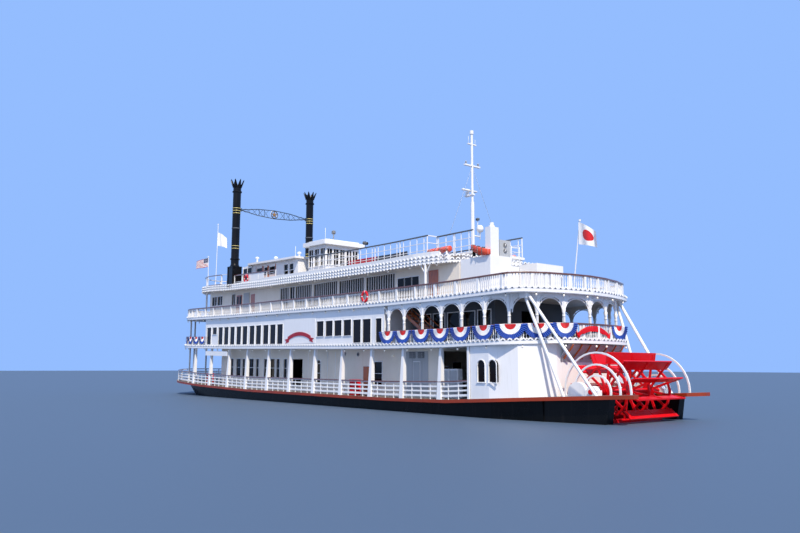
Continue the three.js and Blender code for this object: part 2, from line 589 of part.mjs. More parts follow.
const MAIN_RAIL_END = 51.4;
const UPPER_RAIL_END = 49.6;
function mainRails() {
  const y = HALF_BEAM - 0.16;
  const rail = { x0: 9.95, x1: MAIN_RAIL_END, y, planks: MAIN_PLANKS, low: 0, line: guardAt };
  const pieces = straightRail({ ...rail, posts: [MAIN_RAIL_END - 0.06] });
  pieces.push(post(10.03, y, 0.16, guardAt(GAP), deckAt(DECK_2 - GAP)), ...MAIN_COLUMNS.map(taperedColumn));
  for (const [name, side] of SIDES) add(`main_rail_${name}`, 'white', flip(joined(pieces), side));
  const places = bowPlaces(GUARD_PLAN, 0.16, MAIN_RAIL_END + 0.4);
  const bow = curvedRail({
    shape: GUARD_PLAN, inset: 0.16, planks: MAIN_PLANKS, low: 0, line: guardAt, posts: places,
    window: box(MAIN_RAIL_END + 0.02, 62, -8, 8, -3, 24),
  });
  add('main_rail_bow', 'white', joined(bow));
}

// Frieze of round arches between columns that stand at the given places
const FRIEZE = { high: 0.85, thick: 0.08, spandrel: 0.07, arch: 0.86, spring: 0.2 };
// Flat-topped arch: a squarish oval that stands half below its spring line
function archOutline(half, spring) {
  return Array.from({ length: 20 }, (_, i) => {
    const turn = (i * Math.PI) / 10;
    const across = Math.sign(Math.cos(turn)) * Math.abs(Math.cos(turn)) ** 0.75;
    const up = Math.sign(Math.sin(turn)) * Math.abs(Math.sin(turn)) ** 0.75;
    return [half * across, spring + FRIEZE.arch * up];
  });
}
function archedFrieze(places, top) {
  const low = top - FRIEZE.high;
  const bays = places.slice(1).map(([x1, y1], i) => {
    const [x0, y0] = places[i];
    const long = Math.hypot(x1 - x0, y1 - y0);
    const band = box(-long / 2 - 0.04, long / 2 + 0.04, -FRIEZE.thick / 2, FRIEZE.thick / 2, -3, 24);
    const half = long / 2 - FRIEZE.spandrel;
    const middle = (x0 + x1) / 2;
    const cut = crossPrism(archOutline(half, low + riseAt(middle) - FRIEZE.spring), -0.5, 0.5);
    const turn = (Math.atan2(y1 - y0, x1 - x0) * 180) / Math.PI;
    return band.subtract(cut).rotate([0, 0, turn]).translate([middle, (y0 + y1) / 2, 0]);
  });
  return between(joined(bays), deckAt(low), deckAt(top));
}
const CORNER_COLUMN = [7.18, 4.77];
function arcades() {
  const floor = DECK_2 + SLAB_THICK;
  const y = HALF_BEAM - 0.16;
  const columns = [CORNER_COLUMN, ...[8.68, 10.6, 12.45, 14.25, 16.1, 17.76].map((x) => [x, y])];
  const rail = { x0: 7.4, x1: 18.2, y, planks: DECK_PLANKS, low: floor, line: deckAt, posts: [] };
  const pieces = straightRail(rail);
  const stand = ([px, py]) => post(px, py, 0.12, deckAt(floor + GAP), deckAt(DECK_3 - GAP));
  pieces.push(...columns.map(stand));
  pieces.push(archedFrieze(columns, DECK_3 - GAP));
  for (const [name, side] of SIDES) add(`arcade_${name}`, 'white', flip(joined(pieces), side));
  const aft = mirrored([[5.18, 0], [5.5, 2], [6, 3.75]].reverse());
  // The frieze goes on to just short of the corner columns
  const frieze = archedFrieze([[7.085, 4.688], ...aft, [7.085, -4.688]], DECK_3 - GAP);
  add('arcade_aft', 'white', joined([...aft.map(stand), frieze]));
}
function sternBalcony() {
  const floor = DECK_2 + SLAB_THICK;
  const edge = halfPlan(DECK_2_PLAN, 0.16).filter(([x]) => x < 6.8);
  const places = edge.map(([x, y]) => [x + 0.16, Math.max(y, 0)]);
  const rail = edgeRailAft(DECK_2_PLAN, floor, 7.3, DECK_PLANKS);
  const posts = mirrored(places).map(([x, y]) => post(x, y, 0.09, deckAt(floor + GAP), deckAt(floor + 0.93)));
  add('balcony_rail', 'white', joined([...rail, ...posts]));
}
// Planks along a plan's aft edge
function edgeRailAft(shape, low, end, planks) {
  const window = box(-1, end, -8, 8, -3, 24);
  return planks.map(([lift, high, thick]) => {
    const outer = mirrored(insetAft(shape, 0.16 - thick / 2));
    const inner = mirrored(insetAft(shape, 0.16 + thick / 2));
    const whole = layer(outer, deckAt(low + lift), deckAt(low + lift + high));
    return whole.subtract(prism(inner, -4, 25)).intersect(window);
  });
}
function insetAft({ aft, half }, inset) {
  const points = aft.map(([x, y]) => [x + inset, Math.max(y - inset, 0)]);
  return [...points, [20, half - inset]];
}

function deckThreeRails() {
  const floor = DECK_3 + SLAB_THICK;
  const y = HALF_BEAM - 0.12;
  const rail = { x0: 7.1, x1: UPPER_RAIL_END, y, planks: DECK_PLANKS, low: floor, line: deckAt };
  const pieces = straightRail({ ...rail, posts: spaced(7.16, UPPER_RAIL_END - 0.06, 3.75) });
  for (const [name, side] of SIDES) add(`deck_3_rail_${name}`, 'white', flip(joined(pieces), side));
  const bow = curvedRail({
    shape: DECK_3_PLAN, inset: 0.12, planks: DECK_PLANKS, low: floor, line: deckAt,
    posts: bowPlaces(DECK_3_PLAN, 0.12, UPPER_RAIL_END + 0.3),
    window: box(UPPER_RAIL_END + 0.02, 62, -8, 8, -3, 24),
  });
  add('deck_3_rail_bow', 'white', joined(bow));
  const aft = edgeRailAft(DECK_3_PLAN, floor, 7.06, DECK_PLANKS);
  const places = DECK_3_PLAN.aft.slice(0, 4).map(([x, py]) => [x + 0.16, Math.max(py - 0.16, 0)]);
  const posts = mirrored(places).map(([x, py]) => post(x, py, 0.09, deckAt(floor + GAP), deckAt(floor + 0.93)));
  add('deck_3_rail_aft', 'white', joined([...aft, ...posts]));
}
function deckTwoBow() {
  const floor = DECK_2 + SLAB_THICK;
  const bow = curvedRail({
    shape: DECK_2_PLAN, inset: 0.16, planks: DECK_PLANKS, low: floor, line: deckAt,
    posts: bowPlaces(DECK_2_PLAN, 0.16, 50.2),
    window: box(HOUSE_2.to + 0.1, 62, -8, 8, -3, 24),
  });
  add('deck_2_rail_bow', 'white', joined(bow));
}
function upperRails() {
  const low = SUN_DECK + THIN_SLAB;
  const { from, step, aftHalf, half } = SUN;
  const rail = { planks: SUN_PLANKS, low, line: topAt, size: 0.06 };
  const start = step + 0.07;
  const foreY = half - 0.1;
  const aftY = aftHalf - 0.1;
  const fore = straightRail({ ...rail, x0: start, x1: 31, y: foreY, posts: spaced(start + 0.03, 30.97, 3) });
  const aftPosts = [from + 0.13, 14.2, start + 0.03];
  const aft = straightRail({ ...rail, x0: from + 0.1, x1: start + 0.06, y: aftY, posts: aftPosts });
  const corner = SUN_PLANKS.map(([lift, high, thick]) => between(
    box(start, start + 0.06, aftY, foreY + thick / 2, -3, 24), topAt(low + lift), topAt(low + lift + high),
  ));
  const whole = joined([...fore, ...aft, ...corner]);
  for (const [name, side] of SIDES) add(`sun_rail_${name}`, 'white', flip(whole, side));
  const bow = curvedRail({
    shape: DECK_4_PLAN, inset: 0.3, planks: BOW_PLANKS_4, low: DECK_4 + THIN_SLAB, line: topAt,
    posts: bowPlaces(DECK_4_PLAN, 0.3, 45.6),
    window: box(44.5, 62, -8, 8, -3, 24),
  });
  add('deck_4_rail_bow', 'white', joined(bow));
}

// Chimneys, mast and deck fittings

const CHIMNEY = { x: 43.7, y: 4.2, radius: 0.385, top: 21.3, boxLong: 0.5, boxWide: 0.45, boxHigh: 2.1 };
function chimneys() {
  const low = DECK_4 + THIN_SLAB;
  const foot = low + topRiseAt(CHIMNEY.x);
  for (const [name, side] of SIDES) {
    const { x, y, boxLong, boxWide, boxHigh } = CHIMNEY;
    const base = between(
      box(x - boxLong, x + boxLong, y - boxWide, y + boxWide, 5, 20), topAt(low + GAP), topAt(low + boxHigh),
    );
    add(`chimney_base_${name}`, 'black', flip(base, side));
    const bottom = foot + boxHigh - 0.2;
    const r = CHIMNEY.radius;
    const pipe = turned([
      [0, bottom], [r, bottom], [r, CHIMNEY.top - 1.35], [r + 0.06, CHIMNEY.top - 1.3], [r, CHIMNEY.top - 1.2],
      [r, CHIMNEY.top - 0.9], [r + 0.28, CHIMNEY.top - 0.1], [r + 0.24, CHIMNEY.top - 0.1],
      [r - 0.06, CHIMNEY.top - 0.9], [r - 0.06, bottom + 0.6], [0, bottom + 0.6],
    ], x, y, 16);
    // Eight leaves of the crown stand between V notches
    const rim = CHIMNEY.top + 0.02;
    const notch = longPrism([[-0.25, rim], [0.25, rim], [0, CHIMNEY.top - 0.66]], 0.1, 1);
    const turns = [22.5, 67.5, 112.5, 157.5, 202.5, 247.5, 292.5, 337.5];
    const notches = turns.map((turn) => notch.rotate([0, 0, turn]).translate([x, y, 0]));
    const crowned = without(pipe, notches);
    add(`chimney_${name}`, 'black', flip(between(crowned, topAt(low + boxHigh + GAP), topAt(30)), side));
  }
}
function chimneyBrace() {
  const { x, y, radius } = CHIMNEY;
  const end = y - radius - GAP;
  const middle = 18.3;
  const tip = end - 0.05;
  const arc = [[-tip, 0], [-tip * 0.5, 0.75], [0, 1], [tip * 0.5, 0.75], [tip, 0]];
  const chord = (lift) => arc.map(([py, k]) => [py, middle + lift * k]);
  const pieces = [];
  for (const lift of [0.42, -0.42]) {
    const points = chord(lift);
    for (let i = 1; i < points.length; i += 1) {
      const [y0, z0] = points[i - 1];
      const [y1, z1] = points[i];
      pieces.push(rodBetween([x, y0, z0], [x, y1, z1], 0.04, 4));
    }
  }
  const medal = rodAlong('x', 0.41, x - 0.04, x + 0.04, [0, middle], 16);
  const hole = rodAlong('x', 0.33, x - 1, x + 1, [0, middle], 16);
  const star = longPrism(starOutline(0.36, 0.138, middle), x - 0.03, x + 0.03);
  const webs = [-0.45, -0.3, 0.3, 0.45].map((k) => (
    rodAlong('z', 0.025, middle - 0.36, middle + 0.36, [x, k * end], 4)
  ));
  const clamps = SIDES.map(([, side]) => {
    const py = side * (end - 0.08);
    return box(x - 0.1, x + 0.1, py - 0.08, py + 0.08, middle - 0.14, middle + 0.14);
  });
  add('chimney_brace', 'steel', joined([...pieces, medal.subtract(hole), star, ...webs, ...clamps]));
}
function starOutline(outer, inner, z) {
  return Array.from({ length: 10 }, (_, i) => {
    const radius = i % 2 ? inner : outer;
    const turn = (i * Math.PI) / 5;
    return [radius * Math.sin(turn), z + radius * Math.cos(turn)];
  });
}

const MAST = { x: 14.9, top: 19.55 };
function mast() {
  const foot = SUN_DECK + topRiseAt(MAST.x);
  const at = [MAST.x, 0];
  const pieces = [
    rodAlong('z', 0.13, foot, 14.5, at), rodAlong('z', 0.09, 14.4, MAST.top, at),
    box(MAST.x - 0.08, MAST.x + 0.08, -0.75, 0.75, 17.1, 17.2),
    box(MAST.x - 0.06, MAST.x + 0.06, -0.4, 0.4, 18.7, 18.78),
    box(MAST.x - 0.15, MAST.x + 0.7, -0.12, 0.12, 15, 15.1),
    rodAlong('z', 0.14, 15.1, 15.35, [MAST.x + 0.5, 0], 10),
    rodAlong('z', 0.14, MAST.top - 0.05, MAST.top + 0.2, at, 10),
  ];
  add('mast', 'white', between(joined(pieces), topAt(SUN_DECK + THIN_SLAB + GAP), topAt(30)));
}
function aftFittings() {
  const low = DECK_3 + SLAB_THICK;
  const roof = 9.75;
  const tower = layer([[9.65, 1.8], [12.28, 1.8], [12.28, 3.7], [9.65, 3.7]], deckAt(low + GAP), deckAt(roof));
  const lobbyPlan = [[11, -3.7], [12.28, -3.7], [12.28, 1.82], [9.65, 1.82], [9.65, 0.82], [11, 0.82]];
  const lobby = layer(lobbyPlan, deckAt(low + GAP), deckAt(9.15));
  add('stair_tower', 'white', tower.add(lobby));
  const casing = box(9.7, 10.15, 2.86, 3.6, roof - 1, 11.55);
  const capAt = [9.92, 3.24];
  const cap = rodAlong('z', 0.2, 11.5, 11.65, capAt, 12).add(rodAlong('z', 0.13, 11.6, 11.85, capAt, 12));
  add('exhaust_casing', 'white', between(casing.add(cap), deckAt(roof + GAP), deckAt(30)));
  const unitPlan = [[9.7, 1.84], [10.5, 1.84], [10.5, 2.8], [9.7, 2.8]];
  const unit = layer(unitPlan, deckAt(roof + GAP), deckAt(10.8));
  add('vent_unit', 'grey', unit);
  const crate = layer([[8.2, -1.45], [9.6, -1.45], [9.6, 1.1], [8.2, 1.1]], deckAt(low + GAP), deckAt(9.3));
  add('deck_box', 'white', crate);
}

// Staffs and flags
const FLAG_THICK = 0.02;
const STAFF = 0.035;
function staffAndFlag({ name, x, y, deck, line, high, lean, wide, tall, drop, turn, paint }) {
  const foot = heightOn(line(deck), x);
  const staffX = (up) => x - (lean * up) / high;
  const staff = rodBetween([staffX(-0.2), y, foot - 0.2], [staffX(high), y, foot + high], STAFF, 8);
  const ball = rodAlong('z', 2 * STAFF, foot + high - 0.03, foot + high + 0.08, [x - lean, y], 8);
  const swung = (whole) => whole.translate([-x, -y, 0]).rotate([0, 0, turn]).translate([x, y, 0]);
  add(`${name}_staff`, 'white', between(swung(staff.add(ball)), line(deck + GAP), line(30)));
  const top = high - drop;
  const low = top - tall;
  const edge = STAFF + 2 * GAP;
  const outline = [
    [staffX(low) - edge, foot + low], [staffX(low) - edge - wide, foot + low - 0.1],
    [staffX(top) - edge - wide, foot + top - 0.1], [staffX(top) - edge, foot + top],
  ];
  add(`${name}_flag`, paint, swung(crossPrism(outline.reverse(), y - FLAG_THICK / 2, y + FLAG_THICK / 2)));
}
function flags() {
  const deckThree = DECK_3 + SLAB_THICK;
  const deckFour = DECK_4 + THIN_SLAB;
  // foot and height of each staff, how far it leans; the flag's size, its distance below the top, and the angle
  // from aft to which it blows
  const staffs = [
    {
      name: 'ensign', x: 6.35, y: 0, deck: deckThree, line: deckAt, high: 4.45, lean: 0.6,
      wide: 1.3, tall: 1.35, drop: 0.1, turn: 8, paint: 'cloth',
    },
    {
      name: 'bow', x: 53, y: 2.75, deck: deckFour, line: topAt, high: 3.82, lean: 0.1,
      wide: 1.5, tall: 1.0, drop: 0.1, turn: 228, paint: 'stripes',
    },
    {
      name: 'jack', x: 55, y: 1, deck: deckFour, line: topAt, high: 7.8, lean: 0.05,
      wide: 1.4, tall: 1.5, drop: 0.9, turn: 50, paint: 'cloth',
    },
  ];
  staffs.forEach(staffAndFlag);
}

hull();
sponsons();
rudders();
mainDeck();
paddleWheel();
bearings();
wheelGuards();
struts();
engineHouse();
mainHouse();
houseTwo();
lounge();
houseThree();
doors();
texas();
pilothouse();
upperDecks();
mainRails();
arcades();
sternBalcony();
deckTwoBow();
deckThreeRails();
upperRails();
chimneys();
chimneyBrace();
mast();
aftFittings();
flags();

export default group;
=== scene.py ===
# %% [markdown]
# # A stern-wheel paddle steamer
# Such a steamer has a black steel hull, a red wheel at the stern and four white decks with railings. The solids
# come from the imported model, and this lesson dresses them: paint, glass, balustrades, bunting, flags and rigging.
# The model is half the real ship's size. Sizes below are in metres of the real ship, except where a comment says
# that they are the model's: the paints' grain, the hull's plates and the floor.

# %% The frame
import json
import math

import bmesh
import bpy
from mathutils import Matrix, Vector

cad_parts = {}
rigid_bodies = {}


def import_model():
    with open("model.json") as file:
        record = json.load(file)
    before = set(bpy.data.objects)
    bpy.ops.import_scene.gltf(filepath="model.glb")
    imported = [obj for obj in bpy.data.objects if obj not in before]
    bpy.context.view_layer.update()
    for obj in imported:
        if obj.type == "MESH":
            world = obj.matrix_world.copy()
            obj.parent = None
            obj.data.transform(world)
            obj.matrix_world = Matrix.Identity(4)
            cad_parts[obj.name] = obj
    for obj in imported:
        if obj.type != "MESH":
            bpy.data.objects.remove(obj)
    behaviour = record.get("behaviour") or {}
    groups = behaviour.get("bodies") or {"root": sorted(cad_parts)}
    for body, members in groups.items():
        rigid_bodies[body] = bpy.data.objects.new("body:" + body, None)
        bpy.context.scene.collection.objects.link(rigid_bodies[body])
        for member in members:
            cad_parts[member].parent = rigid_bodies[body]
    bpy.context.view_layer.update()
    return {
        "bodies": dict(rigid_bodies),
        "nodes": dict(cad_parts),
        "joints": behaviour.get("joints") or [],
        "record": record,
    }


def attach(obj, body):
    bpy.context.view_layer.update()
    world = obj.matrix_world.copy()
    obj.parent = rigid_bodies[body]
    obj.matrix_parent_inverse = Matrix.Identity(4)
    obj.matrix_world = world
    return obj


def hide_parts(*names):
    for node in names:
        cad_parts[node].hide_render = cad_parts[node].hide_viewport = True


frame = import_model()

# %% [markdown]
# ## Measures
# The ship's frame runs forward from the stern, to port and up from the waterline. One function turns it into the
# model's frame. The decks of such a ship rise towards both ends, so heights come from short tables.

# %% Measures
HALF = 0.5  # the model is half as large as the ship
LENGTH, DRAFT, HALF_BEAM = 59.0, 1.5, 5.4
GUARD_LINE = [(-2, 1.62), (0, 1.56), (6, 1.27), (12, 0.95), (18, 0.87), (38, 0.92), (48, 1.14), (54, 1.38), (61, 1.66)]
DECK_RISE = [(-2, 0.3), (3, 0.14), (7, 0.04), (12, -0.03), (18, 0), (25, 0.1), (30, 0.2), (42, 0.4), (50, 0.6), (61, 1)]
TOP_RISE = [
    (-2, 0), (12, 0), (20, 0.02), (26, 0.13), (30, 0.24), (37, 0.4), (44, 0.65), (50, 0.98), (56, 1.35), (61, 1.6),
]
SLAB, THIN_SLAB = 0.2, 0.16
DECK_2, DECK_3, DECK_4, SUN_DECK = 4.13, 7.03, 9.62, 10.3  # undersides
FLOOR_2, FLOOR_3, FLOOR_4, FLOOR_SUN = DECK_2 + SLAB, DECK_3 + SLAB, DECK_4 + THIN_SLAB, SUN_DECK + THIN_SLAB


def place(x, y, z):
    """A point of the ship in the model's frame."""
    return Vector(((x - LENGTH / 2) * HALF, y * HALF, (z + DRAFT) * HALF))


def height_on(line, x):
    for (x0, z0), (x1, z1) in zip(line, line[1:]):
        if x <= x1:
            return z0 + (z1 - z0) * (x - x0) / (x1 - x0)
    return line[-1][1]


def guard_top(x):
    return height_on(GUARD_LINE, x)


def rise(x):
    return height_on(DECK_RISE, x)


def top_rise(x):
    """The fourth deck and all above it rise more steeply."""
    return height_on(TOP_RISE, x)


print("floors", [round(z, 2) for z in (FLOOR_2, FLOOR_3, FLOOR_4, FLOOR_SUN)], "m over the waterline amidships")

# %% [markdown]
# ## Camera, floor and light
# The camera stands low, off the port quarter, where the photograph was taken. The floor is plain and matt, a mid
# blue-grey, and lies at the waterline, so it hides the hull's bottom. One small, bright sun from astern gives crisp
# shadows, the blue world fills the shade under every deck, and a weak, very wide sun low at the port side stands for
# light thrown up at that side. Softer lamps would be gentler, but the decks' edges would lose their shadows.

# %% Camera, floor and light
WATERLINE = place(0, 0, 0).z
FOCAL_PIXELS, FRAME_PIXELS, SENSOR = 724.946, 800, 36.0
YAW, PITCH, ROLL = -0.6756, 0.1375, 0.0026
camera = bpy.data.objects.new("camera", bpy.data.cameras.new("camera"))
bpy.context.collection.objects.link(camera)
bpy.context.scene.camera = camera
camera.data.sensor_width = SENSOR
camera.data.lens = FOCAL_PIXELS / FRAME_PIXELS * SENSOR
camera.data.clip_end = 500
camera.location = place(-21.1734, 35.4827, 2.9216)
ahead = Vector((math.cos(YAW) * math.cos(PITCH), math.sin(YAW) * math.cos(PITCH), math.sin(PITCH)))
level = Vector((math.sin(YAW), -math.cos(YAW), 0))
upward = level.cross(ahead)
right = level * math.cos(ROLL) + upward * math.sin(ROLL)
upward = upward * math.cos(ROLL) - level * math.sin(ROLL)
camera.matrix_world = Matrix.Translation(camera.location) @ Matrix((right, upward, -ahead)).transposed().to_4x4()


def linear(code):
    """An sRGB hex colour as linear red, green, blue and alpha."""
    parts = [int(code[i : i + 2], 16) / 255 for i in (1, 3, 5)]
    return tuple(c / 12.92 if c <= 0.04045 else ((c + 0.055) / 1.055) ** 2.4 for c in parts) + (1.0,)


def add_node(tree, kind, inputs=None, **settings):
    """Adds a node, sets it, and fills its inputs with values or links."""
    node = tree.nodes.new(kind)
    for key, value in settings.items():
        setattr(node, key, value)
    for key, value in (inputs or {}).items():
        if isinstance(value, bpy.types.NodeSocket):
            tree.links.new(value, node.inputs[key])
        else:
            node.inputs[key].default_value = value
    return node


def new_material(name):
    material = bpy.data.materials.new(name)
    material.use_nodes = True
    material.node_tree.nodes.clear()
    return material, material.node_tree


def distant_light(name, colour, energy, spread, towards):
    """A sun whose disc is spread degrees wide; towards points from the ship to it."""
    light = bpy.data.objects.new(name, bpy.data.lights.new(name, "SUN"))
    bpy.context.collection.objects.link(light)
    light.data.energy = energy
    light.data.angle = math.radians(spread)
    light.data.color = linear(colour)[:3]
    light.rotation_euler = Vector(towards).to_track_quat("Z", "Y").to_euler()


world = bpy.data.worlds.new("even blue")
bpy.context.scene.world = world
world.use_nodes = True
world.node_tree.nodes["Background"].inputs["Color"].default_value = linear("#94bdff")
world.node_tree.nodes["Background"].inputs["Strength"].default_value = 1.0
distant_light("sun", "#fff4e2", 4.7, 1.5, (-0.57, 0.28, 0.77))
distant_light("low_fill", "#ffe8cc", 0.42, 100, (-0.25, 0.95, 0.12))
bpy.context.scene.view_settings.view_transform = "Standard"

floor_material, tree = new_material("matt blue-grey floor")
floor_shader = add_node(tree, "ShaderNodeBsdfPrincipled", {"Base Color": linear("#4a5c70"), "Roughness": 0.6})
add_node(tree, "ShaderNodeOutputMaterial", {"Surface": floor_shader.outputs[0]})
floor_mesh = bpy.data.meshes.new("waterline_floor")
REACH = 220  # metres of the model's frame, from the middle to each edge
floor_corners = [(a * REACH, b * REACH, WATERLINE) for a, b in ((-1, -1), (1, -1), (1, 1), (-1, 1))]
floor_mesh.from_pydata(floor_corners, [], [(0, 1, 2, 3)])
floor_mesh.materials.append(floor_material)
studio_floor = bpy.data.objects.new("waterline_floor", floor_mesh)
bpy.context.collection.objects.link(studio_floor)
print("waterline at", round(WATERLINE, 3), "m; lens", round(camera.data.lens, 2), "mm")

# %% [markdown]
# ## Paint, wood, glass and cloth
# Every finish below is built from the same few nodes: noise at a real size, a range turned into another, two
# colours blended, and a height turned into relief. A short function for each keeps the finishes easy to read. The
# sizes are in millimetres of the model.

# %% Helpers for finishes
def millimetres(size):
    """A noise scale whose features are about that many millimetres across."""
    return 1000 / size


def on_surface(tree):
    return add_node(tree, "ShaderNodeTexCoord").outputs["Object"]


def noise(tree, spot, size, detail, roughness=0.5):
    """Noise with features of that many millimetres."""
    inputs = {"Vector": spot, "Scale": millimetres(size), "Detail": detail, "Roughness": roughness}
    return add_node(tree, "ShaderNodeTexNoise", inputs).outputs[0]


def stretched(tree, spot, scale):
    return add_node(tree, "ShaderNodeMapping", {"Vector": spot, "Scale": scale}).outputs[0]


def remap(tree, value, low, high, least, most):
    """A value's range from low to high, turned into least to most."""
    inputs = {"Value": value, "From Min": low, "From Max": high, "To Min": least, "To Max": most}
    return add_node(tree, "ShaderNodeMapRange", inputs).outputs[0]


def blend(tree, share, first, second):
    """The first colour where share is 0 and the second where it is 1; each is a hex value or a link."""
    ends = [linear(end) if isinstance(end, str) else end for end in (first, second)]
    inputs = {"Factor": share, 6: ends[0], 7: ends[1]}
    return add_node(tree, "ShaderNodeMix", inputs, data_type="RGBA").outputs[2]


def combine(tree, operation, first, second):
    return add_node(tree, "ShaderNodeMath", {0: first, 1: second}, operation=operation).outputs[0]


def relief(tree, height, strength, distance):
    inputs = {"Height": height, "Strength": strength, "Distance": distance}
    return add_node(tree, "ShaderNodeBump", inputs).outputs[0]


def finished(material, colour, roughness, more):
    """Ends a material in one shader, with its other sockets as given."""
    tree = material.node_tree
    inputs = {"Base Color": linear(colour) if isinstance(colour, str) else colour, "Roughness": roughness, **more}
    shader = add_node(tree, "ShaderNodeBsdfPrincipled", inputs)
    add_node(tree, "ShaderNodeOutputMaterial", {"Surface": shader.outputs[0]})
    return material


print("a 12 mm grain needs a noise scale of", round(millimetres(12), 1))

# %% [markdown]
# Ship's enamel is brushed or sprayed on steel and looks even from afar, but rain leaves faint streaks and the
# plates under it aren't quite flat. One flat colour would look like plastic, so each paint gets broad mottling,
# thin upright streaks and a slight bump.

# %% Paint
def enamel(name, colour, shade, roughness, streak=0.35, bump=0.25, level=0.5):
    """Alkyd enamel on steel: colour, the tone it weathers to, how glossy it is and how much rain has marked it."""
    material, tree = new_material(name)
    spot = on_surface(tree)
    broad = noise(tree, spot, 900, 4.0)
    rain = noise(tree, stretched(tree, spot, (1.0, 1.0, 0.06)), 45, 3.0)
    marks = remap(tree, rain, 0.52, 0.8, 0.0, streak)
    patches = remap(tree, broad, 0.45, 0.8, 0.0, streak)
    tone = blend(tree, combine(tree, "MAXIMUM", marks, patches), colour, shade)
    gloss = remap(tree, broad, 0.3, 0.7, roughness - 0.06, roughness + 0.08)
    dents = relief(tree, combine(tree, "ADD", broad, noise(tree, spot, 30, 2.0)), bump, 0.004)
    return finished(material, tone, gloss, {"IOR": 1.5, "Specular IOR Level": level, "Normal": dents})


WHITE = enamel("white marine enamel on steel", "#eeedeb", "#d2d1cc", 0.42)
# The cream is partly the walls' own warm paint and partly painted light: its warmth stands for light bounced from the
# decks into the shaded recesses.
CREAM = enamel("warm white enamel on plywood with painted bounce light", "#f1e6d4", "#d8c8ab", 0.5)
GREY = enamel("light grey enamel", "#b4b6b6", "#959797", 0.5)
BLACK = enamel("black gloss enamel", "#0b0b0d", "#1c1b1b", 0.24, streak=0.5, level=0.25)
RED = enamel("signal red enamel on timber", "#d90d17", "#960a10", 0.38, streak=0.5, bump=0.5, level=0.25)
# Dark grey enamel on sockets, seats, rails and fittings; the same material is painted shade on the lounge walls, behind
# the vent slats and in the lace's piercings.
DARK_GREY_AND_PAINTED_SHADE = enamel("dark grey enamel and painted shade", "#4c5157", "#3b4045", 0.55)
PINK = enamel("pale rose enamel", "#f0d9cb", "#d9bba8", 0.5)
ORANGE = enamel("rescue orange gelcoat", "#e4502f", "#b8452f", 0.4)
BUOY_RED = enamel("rescue red vinyl", "#e01a1e", "#ab1317", 0.45)
GOLD = enamel("pale gold enamel", "#d9c877", "#a5924c", 0.35, streak=0.3)
BRONZE = enamel("bronze enamel", "#8d6a3c", "#654a28", 0.4)
print(len(bpy.data.materials), "materials so far")

# %% [markdown]
# A deck is a steel slab with smooth enamel on its edge and underside, and paint with sharp grit on top, so that
# nobody slips. Two pieces could carry the two paints, but one material that asks which way a face looks keeps the
# solid whole.


# %% Deck paint
def deck_paint(name, edge, edge_shade, top, top_shade):
    """A deck slab: enamel on its edge and underside, and grit paint underfoot."""
    material, tree = new_material(name)
    spot = on_surface(tree)
    normal = add_node(tree, "ShaderNodeNewGeometry").outputs["Normal"]
    upward_share = add_node(tree, "ShaderNodeSeparateXYZ", {0: normal}).outputs["Z"]
    flat = combine(tree, "GREATER_THAN", upward_share, 0.9)
    broad = noise(tree, spot, 600, 4.0)
    grit = noise(tree, spot, 6, 1.0)  # real grit is finer
    tone = blend(tree, flat, blend(tree, broad, edge, edge_shade), blend(tree, broad, top, top_shade))
    bump = relief(tree, combine(tree, "MULTIPLY", grit, flat), 0.6, 0.002)
    return finished(material, tone, remap(tree, flat, 0.0, 1.0, 0.42, 0.85), {"IOR": 1.5, "Normal": bump})


WHITE_DECK = deck_paint("white slab with grey grit paint", "#f0efec", "#dedcd6", "#9a8f82", "#83786c")
BROWN_DECK = deck_paint("rust brown strake with grit paint", "#b23c0a", "#6c260d", "#8a7f76", "#746a62")
print("deck paints:", WHITE_DECK.name, "and", BROWN_DECK.name)

# %% [markdown]
# The hull is welded from steel plates. Each plate is a few metres long and the seams show as fine lines in the
# gloss, so a brick pattern with long, thin joints gives the seams and a little height between plates.

# %% Plated hull
PLATE = (1.5, 0.55)  # metres of the model
hull_paint, tree = new_material("black enamel on welded plates")
spot = on_surface(tree)
turned_up = add_node(tree, "ShaderNodeMapping", {"Vector": spot, "Rotation": (math.pi / 2, 0, 0)})
plates = add_node(tree, "ShaderNodeTexBrick", {
    "Vector": turned_up.outputs[0], "Scale": 1.0, "Mortar Size": 0.006, "Mortar Smooth": 0.3,
    "Brick Width": PLATE[0], "Row Height": PLATE[1],
    "Color1": (1, 1, 1, 1), "Color2": (0.9, 0.9, 0.9, 1), "Mortar": (0.2, 0.2, 0.2, 1),
})
broad = noise(tree, spot, 700, 5.0)
drips = noise(tree, stretched(tree, spot, (1.0, 1.0, 0.05)), 70, 4.0)
tone = blend(tree, remap(tree, drips, 0.55, 0.85, 0.0, 0.7), "#08090a", "#26221f")
gloss = remap(tree, broad, 0.0, 1.0, 0.16, 0.42)
seams = relief(tree, combine(tree, "ADD", plates.outputs["Color"], broad), 0.35, 0.01)
finished(hull_paint, tone, gloss, {"IOR": 1.5, "Specular IOR Level": 0.2, "Normal": seams})
print("hull plates", PLATE[0], "by", PLATE[1], "m on the model")

# %% [markdown]
# Handrails and doors are varnished hardwood. The grain runs along the piece, a few millimetres wide on the model,
# and varnish gives it a clear gloss. Stretched noise makes straight grain, with darker pores between.


# %% Varnished wood
def varnished(name, light, dark, along):
    """Hardwood under varnish, its grain running along one axis."""
    material, tree = new_material(name)
    drawn = stretched(tree, on_surface(tree), tuple(0.04 if axis == along else 1.0 for axis in "xyz"))
    grain = noise(tree, drawn, 9, 6.0, roughness=0.65)
    tone = blend(tree, remap(tree, grain, 0.35, 0.68, 0.0, 1.0), light, dark)
    return finished(material, tone, 0.32, {
        "IOR": 1.5, "Coat Weight": 0.6, "Coat Roughness": 0.08, "Normal": relief(tree, grain, 0.15, 0.001),
    })


RAIL_WOOD = varnished("varnished mahogany handrail", "#6a3b26", "#432417", "x")
DOOR_WOOD = varnished("varnished oak door", "#c9651c", "#8c4210", "z")
print("woods:", RAIL_WOOD.name, "and", DOOR_WOOD.name)
